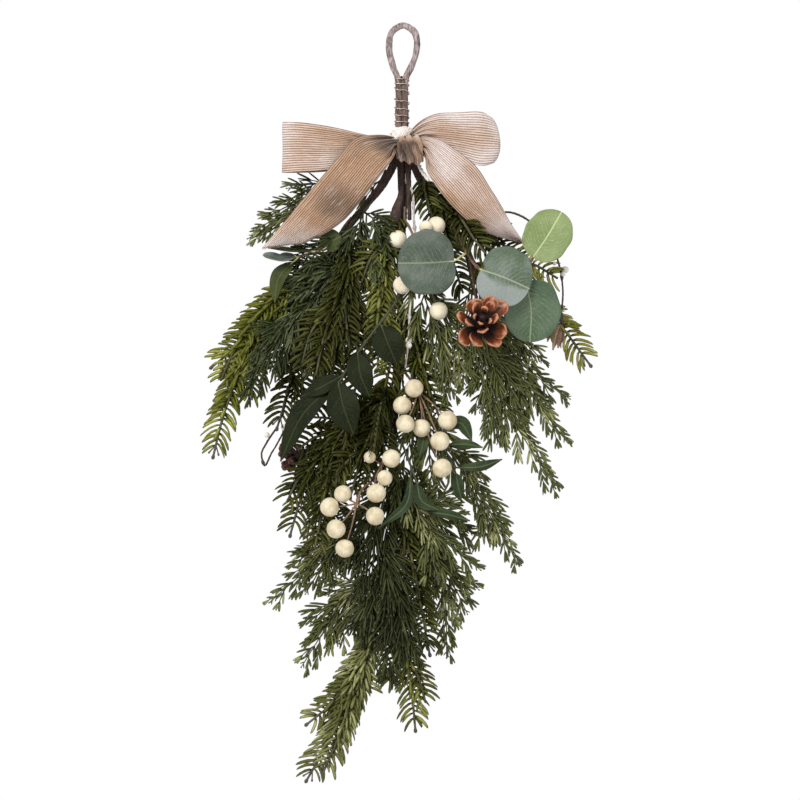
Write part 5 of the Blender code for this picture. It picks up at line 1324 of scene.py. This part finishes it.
# Each spray: its look, the length of its needles and of its fans, and then as for the fir.
CEDAR = [
    ("left_inner", "blue", 17, 15, "left", -160, 60, 10,
     [(-42, -9, -196), (-48, -13, -227), (-59, -15, -256), (-70, -14, -278)],
     [[(-42, -13, -195), (-27, -17, -214), (-31, -18, -244)],
      [(-46, -14, -216), (-71, -18, -239), (-91, -19, -269)],
      [(-41, -10, -186), (-63, -15, -205), (-86, -17, -229)],
      [(-54, -15, -244), (-54, -19, -273), (-59, -19, -303)],
      [(-48, -13, -224), (-76, -17, -228), (-104, -18, -242)],
      [(-38, -9, -180), (-24, -14, -190), (-14, -16, -214)],
      [(-34, -8, -172), (-26, -12, -181), (-13, -12, -188)],
      [(-42, -8, -200), (-72, -8, -207), (-100, -8, -213)],
      [(-44, -10, -212), (-74, -10, -222), (-108, -11, -229)]]),
    ("top_left", "olive", 15, 10, "left", -134, 190, 10,
     [(-50, 4, -145), (-78, 3, -159), (-106, 2, -177), (-145, 1, -197)],
     [[(-60, 4, -148), (-84, 3, -146), (-108, 2, -150)],
      [(-70, 4, -152), (-92, 0, -156), (-116, 0, -164)],
      [(-84, 4, -162), (-106, 2, -166), (-128, 1, -178)],
      [(-98, 3, -169), (-118, 0, -178), (-136, 0, -188)],
      [(-64, 4, -150), (-86, 0, -168), (-108, 0, -184)]]),
    ("left_mid", "blue", 17, 15, "left", -222, 120, 12,
     [(-84, -14, -252), (-99, -18, -272), (-121, -20, -305), (-148, -18, -346)],
     [[(-88, -16, -256), (-80, -21, -284), (-86, -22, -314)],
      [(-99, -18, -273), (-124, -21, -288), (-133, -21, -305)]]),
    ("centre", "olive", 18, 16, "main", -190, 60, 12,
     [(10, -8, -224), (19, -14, -250), (30, -17, -286), (40, -18, -318), (46, -16, -344)],
     [[(25, -17, -273), (43, -20, -301), (55, -20, -328)],
      [(20, -14, -252), (34, -18, -262), (47, -19, -282)]]),
    ("right_long", "olive", 16, 15, "right", -218, 80, 12,
     [(64, -9, -262), (73, -13, -307), (92, -14, -352), (119, -13, -395), (142, -11, -431)],
     [[(84, -14, -336), (85, -17, -366), (90, -18, -392)],
      [(67, -12, -274), (59, -16, -303), (56, -17, -335)],
      [(73, -13, -303), (91, -16, -320), (110, -17, -342)]]),
    ("right_upper", "olive", 14, 12, "right", -232, 300, 5,
     [(80, 8, -268), (99, 8, -298), (127, 7, -328), (156, 5, -348)],
     [[(108, 8, -308), (116, 9, -330), (134, 9, -352)],
      [(90, 8, -282), (116, 9, -297), (133, 8, -314)],
      [(84, 8, -274), (90, 9, -305), (99, 9, -335)]]),
    ("right_mid", "olive", 15, 13, "right", -226, 20, 10,
     [(78, -2, -272), (94, -3, -305), (122, -4, -345), (139, -4, -370), (154, -2, -389)],
     [[(104, -4, -320), (104, -5, -345), (112, -5, -368)],
      [(86, -2, -288), (77, -6, -320), (72, -7, -360)]]),
    ("right_low", "olive", 15, 13, "main", -318, 8, 14,
     [(10, 2, -357), (35, 0, -388), (65, -2, -429), (88, -3, -470), (110, -3, -504)],
     [[(76, -2, -450), (76, -4, -468), (79, -4, -480)],
      [(10, 0, -357), (6, -4, -385), (10, -5, -415)],
      [(41, -1, -395), (58, -5, -406), (72, -5, -424)],
      [(25, 0, -376), (25, -5, -408), (31, -6, -442)],
      [(65, -2, -431), (80, -5, -452), (94, -5, -474)]]),
    ("low_front", "olive", 15, 13, "main", -391, 48, 10,
     [(6, -10, -440), (25, -15, -468), (49, -17, -491), (71, -15, -508)],
     [[(10, -12, -444), (33, -17, -450), (56, -18, -457)],
      [(18, -12, -452), (38, -14, -440), (58, -14, -436)],
      [(22, -14, -463), (25, -18, -489), (33, -18, -518)]]),
    ("low_side", "olive", 15, 13, "main", -405, 350, 12,
     [(8, 4, -444), (27, 5, -487), (49, 4, -513), (70, 2, -528)],
     [[(14, 4, -459), (41, 6, -465), (67, 6, -476)],
      [(20, 5, -472), (22, 7, -505), (27, 7, -537)]]),
    ("bottom_right", "olive", 15, 13, "main", -412, 310, 12,
     [(5, 9, -444), (28, 11, -489), (40, 9, -540), (41, 7, -592)],
     [[(34, 11, -508), (50, 10, -530), (60, 9, -551)],
      [(31, 10, -501), (24, 12, -529), (22, 12, -559)]]),
    ("low_left", "olive", 14, 12, "main", -408, 182, 14,
     [(-26, 1, -444), (-55, 0, -474), (-88, 0, -507), (-125, 2, -540)],
     [[(-44, 0, -462), (-60, 1, -492), (-74, 1, -524)],
      [(-48, 0, -467), (-73, 3, -476), (-97, 3, -497)],
      [(-35, 1, -452), (-54, 3, -458), (-74, 3, -472)],
      [(-69, 0, -489), (-80, -3, -512), (-91, -3, -531)],
      [(-64, 0, -484), (-84, 2, -492), (-104, 3, -506)]]),
    ("bottom_left", "olive", 15, 15, "main", -478, 185, 14,
     [(-24, -1, -515), (-48, -3, -534), (-74, -3, -567), (-95, -2, -600)],
     [[(-40, -2, -528), (-50, -2, -552), (-61, -1, -580)],
      [(-52, -2, -537), (-74, 1, -548), (-88, 1, -559)],
      [(-29, -1, -520), (-48, 2, -524), (-71, 2, -533)]]),
    ("low_centre", "shade", 21, 16, "main", -400, 135, 12,
     [(-18, -14, -444), (-26, -20, -482), (-30, -23, -520), (-36, -22, -564)],
     [[(-20, -15, -450), (-39, -21, -472), (-50, -22, -506)],
      [(-25, -20, -482), (-12, -24, -506), (-8, -24, -538)]]),
    ("bottom_front", "shade", 20, 15, "main", -452, 100, 14,
     [(-11, -12, -500), (-9, -18, -538), (-12, -22, -572), (-17, -22, -606)],
     [[(-10, -15, -515), (-27, -20, -538), (-35, -20, -571)],
      [(-9, -17, -529), (3, -21, -555), (7, -21, -586)]]),
    ("back_left", "olive", 16, 15, "main", -326, 238, 12,
     [(-30, 11, -364), (-60, 11, -400), (-78, 12, -446), (-88, 10, -502)],
     [[(-55, 11, -393), (-76, 13, -408), (-93, 13, -431)],
      [(-73, 12, -435), (-65, 14, -465), (-67, 14, -497)]]),
]
cedar_finishes = {
    "olive": needle_finish("cedar_olive", (20, 24, 8), (72, 77, 43), (174, 176, 122), (112, 112, 82), 0.02),
    "blue": needle_finish("cedar_blue", (16, 21, 9), (46, 53, 31), (110, 118, 86), (88, 94, 72), 0.02),
    # The shade colours darken the cedar as painted shade.
    "shade": needle_finish("cedar_shade", (12, 16, 5), (31, 35, 16), (84, 90, 57), (80, 86, 62), 0.0),
}
cedar_bark = aged("cedar_twig", (46, 46, 24), (88, 88, 52), grain=1000.0, depth=0.0003, roughness=0.7)
FAN_SPACING = 10.0
PAIR_SPACING = 4.0
CEDAR_OUTLINE = ((0.0, 0.55), (0.3, 0.9), (0.65, 1.0), (0.9, 0.75))


def cedar_shoot(stock, path, bare, needle, reach, rng, old):
    """One shoot: its twig, fans of needles at alternate sides and in front, and a tip with tiny forks."""
    run = run_of(path)[-1]
    end_way = unit(path[-1] - path[-2])
    tail = bent(path, 2.0)
    stock.add(rod(tail, np.linspace(CEDAR_TWIG + 0.25, 0.5, len(tail)), 6, ribs=0.06, seed=int(run)), 1)
    at = np.arange(bare, run - 5.0, FAN_SPACING)
    p, t, front, flank = at_lengths(tail, at)
    roots, ways, ups, curls, sizes, ages = [], [], [], [], [], []

    def grow(root, way, up, curl, size, age):
        roots.append(root)
        ways.append(unit(way))
        ups.append(up + rng.normal(0, 0.25, 3))
        curls.append(curl + np.array((0.0, 0.0, -0.07)))
        sizes.append(size)
        ages.append(age)

    for i in range(len(at)):
        far = min(1.0, (at[i] - bare) / (run - bare))
        small = 1.0 - 0.1 * far - 0.42 * far ** 2
        close = min(1.0, 0.4 + (run - at[i]) / 24.0)
        hand = 1.0 if i % 2 else -1.0
        lift = (0.1, 0.6, -0.4, 0.3)[i % 4] + rng.normal(0, 0.12)
        lean = math.radians(34 - 6 * far + rng.normal(0, 7))
        out = unit(flank[i] * hand + front[i] * lift)
        way = unit(t[i] * math.cos(lean) + out * math.sin(lean))
        size = reach * small * close * rng.uniform(0.8, 1.15)
        fine = needle * small * (0.35 + 0.65 * close)
        bend = t[i] * 0.2 + np.array((0.0, 0.0, -0.2))
        rachis = np.array([p[i] + (way + bend * s) * (size * s) for s in (0.0, 0.33, 0.66, 1.0)])
        stock.add(rod(rachis, np.linspace(0.8, 0.5, 4), 5), 0, (0.0, 0.45, 0.3))
        steps = np.linspace(0.25, 0.96, max(2, int(round(size * 0.8 / PAIR_SPACING))))
        base, rt = at_lengths(rachis, steps * run_of(rachis)[-1])[:2]
        age = old + (1 - old) * (0.4 * far + 0.3)
        for j in range(len(steps)):
            for side in (1.0, -1.0):
                spread = math.radians(24 - 7 * steps[j] + rng.normal(0, 4))
                off = unit(np.cross(rt[j], front[i]) * side + front[i] * rng.normal(0.1, 0.3))
                aside = rt[j] * math.cos(spread) + off * math.sin(spread)
                grow(base[j] + rt[j] * side * 0.6, aside, front[i], rt[j] * rng.uniform(0.0, 0.14),
                     fine * (1.0 - 0.15 * steps[j]) * rng.uniform(0.85, 1.1),
                     age + 0.3 * (1 - old) * steps[j])
        grow(rachis[-1], rt[-1], front[i], rt[-1] * 0.0, fine * 0.8, age + 0.3 * (1 - old))
        single = unit(front[i] * rng.uniform(0.3, 1.0) - flank[i] * hand * rng.uniform(0.4, 1.2))
        grow(p[i], t[i] * 0.85 + single * 0.6, front[i], t[i] * 0.08, fine * rng.uniform(0.6, 0.9), age)
    root, way, up, curl = (np.array(x, float) for x in (roots, ways, ups, curls))
    size, age = np.array(sizes), np.array(ages)
    up = unit(up - way * np.sum(up * way, axis=1, keepdims=True))
    keep = allowed(root + way * 0.6, way, curl, size, CEDAR_SHORTEST)
    width = CEDAR_WIDE * rng.uniform(0.85, 1.1, len(root)) * np.clip(size / 9.0, 0.65, 1.0)
    width = width * np.clip(reach / 14.5, 0.7, 1.0)
    stock.add(blades(root[keep], way[keep], up[keep], size[keep], width[keep], 0.55, curl[keep], age[keep],
                     CEDAR_OUTLINE))
    bud(stock, tail[-1], end_way, 0.7)
    for hand, back in ((1, 3), (-1, 2)):
        fork = unit(end_way + flank[-1] * hand * 0.8)
        stalk = np.array([tail[-back], tail[-back] + fork * 2.2, tail[-back] + fork * 4.4])
        stock.add(rod(stalk, np.array((0.5, 0.65, 0.4)), 5), 2)


for name, tone, needle, reach, host, z, azimuth, along, points, side_shoots in CEDAR:
    stock = Stock()
    path = bent(tied(host, z, azimuth, along, points, CEDAR_TWIG), SHOOT_STEP)
    cedar_shoot(stock, path, along + BARE[0], needle * NEEDLE_GAIN[0], reach * REACH_GAIN[0], rng, AGE[0])
    for line in side_shoots:
        side = branched(path, line)
        cedar_shoot(stock, side, BARE[1], needle * NEEDLE_GAIN[1], reach * REACH_GAIN[1], rng, AGE[1])
    node = "cedar_spray_" + name
    hang(stock.make(node + "_needles", cedar_finishes[tone], cedar_bark, bud_finish), node)


# Studio
# The swag hangs in front of a white studio with a plain pale floor well below it.
# One large soft light stands at the upper left and a weaker one at the right.
FLOOR = -1.02
FLOOR_SIDE = 1.7
FLOOR_BACK = 1.2
AMBIENT = 0.54
# Each light: its name, its place, where it aims, its size and its power.
LIGHTS = (("key", (-0.9, -1.7, 0.75), (0.0, 0.0, -0.3), 1.0, 42.0),
          ("fill", (1.3, -1.3, 0.1), (0.0, 0.0, -0.35), 1.0, 9.0))
floor_mesh = bpy.data.meshes.new("floor")
floor_corners = [(-FLOOR_SIDE, -FLOOR_SIDE), (FLOOR_SIDE, -FLOOR_SIDE), (FLOOR_SIDE, FLOOR_BACK),
                 (-FLOOR_SIDE, FLOOR_BACK)]
floor_mesh.from_pydata([(x, y, FLOOR) for x, y in floor_corners], [], [[0, 1, 2, 3]])
floor = placed("floor", floor_mesh)
pale, tree = finish("pale_floor", 0.8)
dust = mixed(tree, noise(tree, place_on(tree), 9.0, 4.0), ink(232, 230, 226), ink(244, 243, 240))
tree.links.new(dust, tree.nodes["Principled BSDF"].inputs["Base Color"])
floor_mesh.materials.append(pale)

world = bpy.data.worlds.new("studio")
bpy.context.scene.world = world
world.use_nodes = True
ambient = world.node_tree.nodes["Background"]
ambient.inputs["Color"].default_value = (1.0, 1.0, 1.0, 1.0)
seen = put(world.node_tree, "LightPath").outputs["Is Camera Ray"]
strength = put(world.node_tree, "MapRange", {0: seen, 1: 0.0, 2: 1.0, 3: AMBIENT, 4: 1.0})
world.node_tree.links.new(strength.outputs[0], ambient.inputs["Strength"])
for name, place, aim, size, power in LIGHTS:
    lamp = bpy.data.lights.new(name, "AREA")
    lamp.size = size
    lamp.energy = power
    light = placed(name, lamp)
    light.location = place
    light.rotation_euler = (Vector(aim) - Vector(place)).to_track_quat("-Z", "Y").to_euler()
bpy.context.scene.view_settings.view_transform = "Standard"

camera = placed("camera", bpy.data.cameras.new("camera"))
camera.data.lens = 100.0
camera.data.sensor_width = 36.0
camera.location = (-0.003, -2.095, -0.350)
camera.rotation_euler = (math.radians(90.0), 0.0, 0.0)
bpy.context.scene.camera = camera
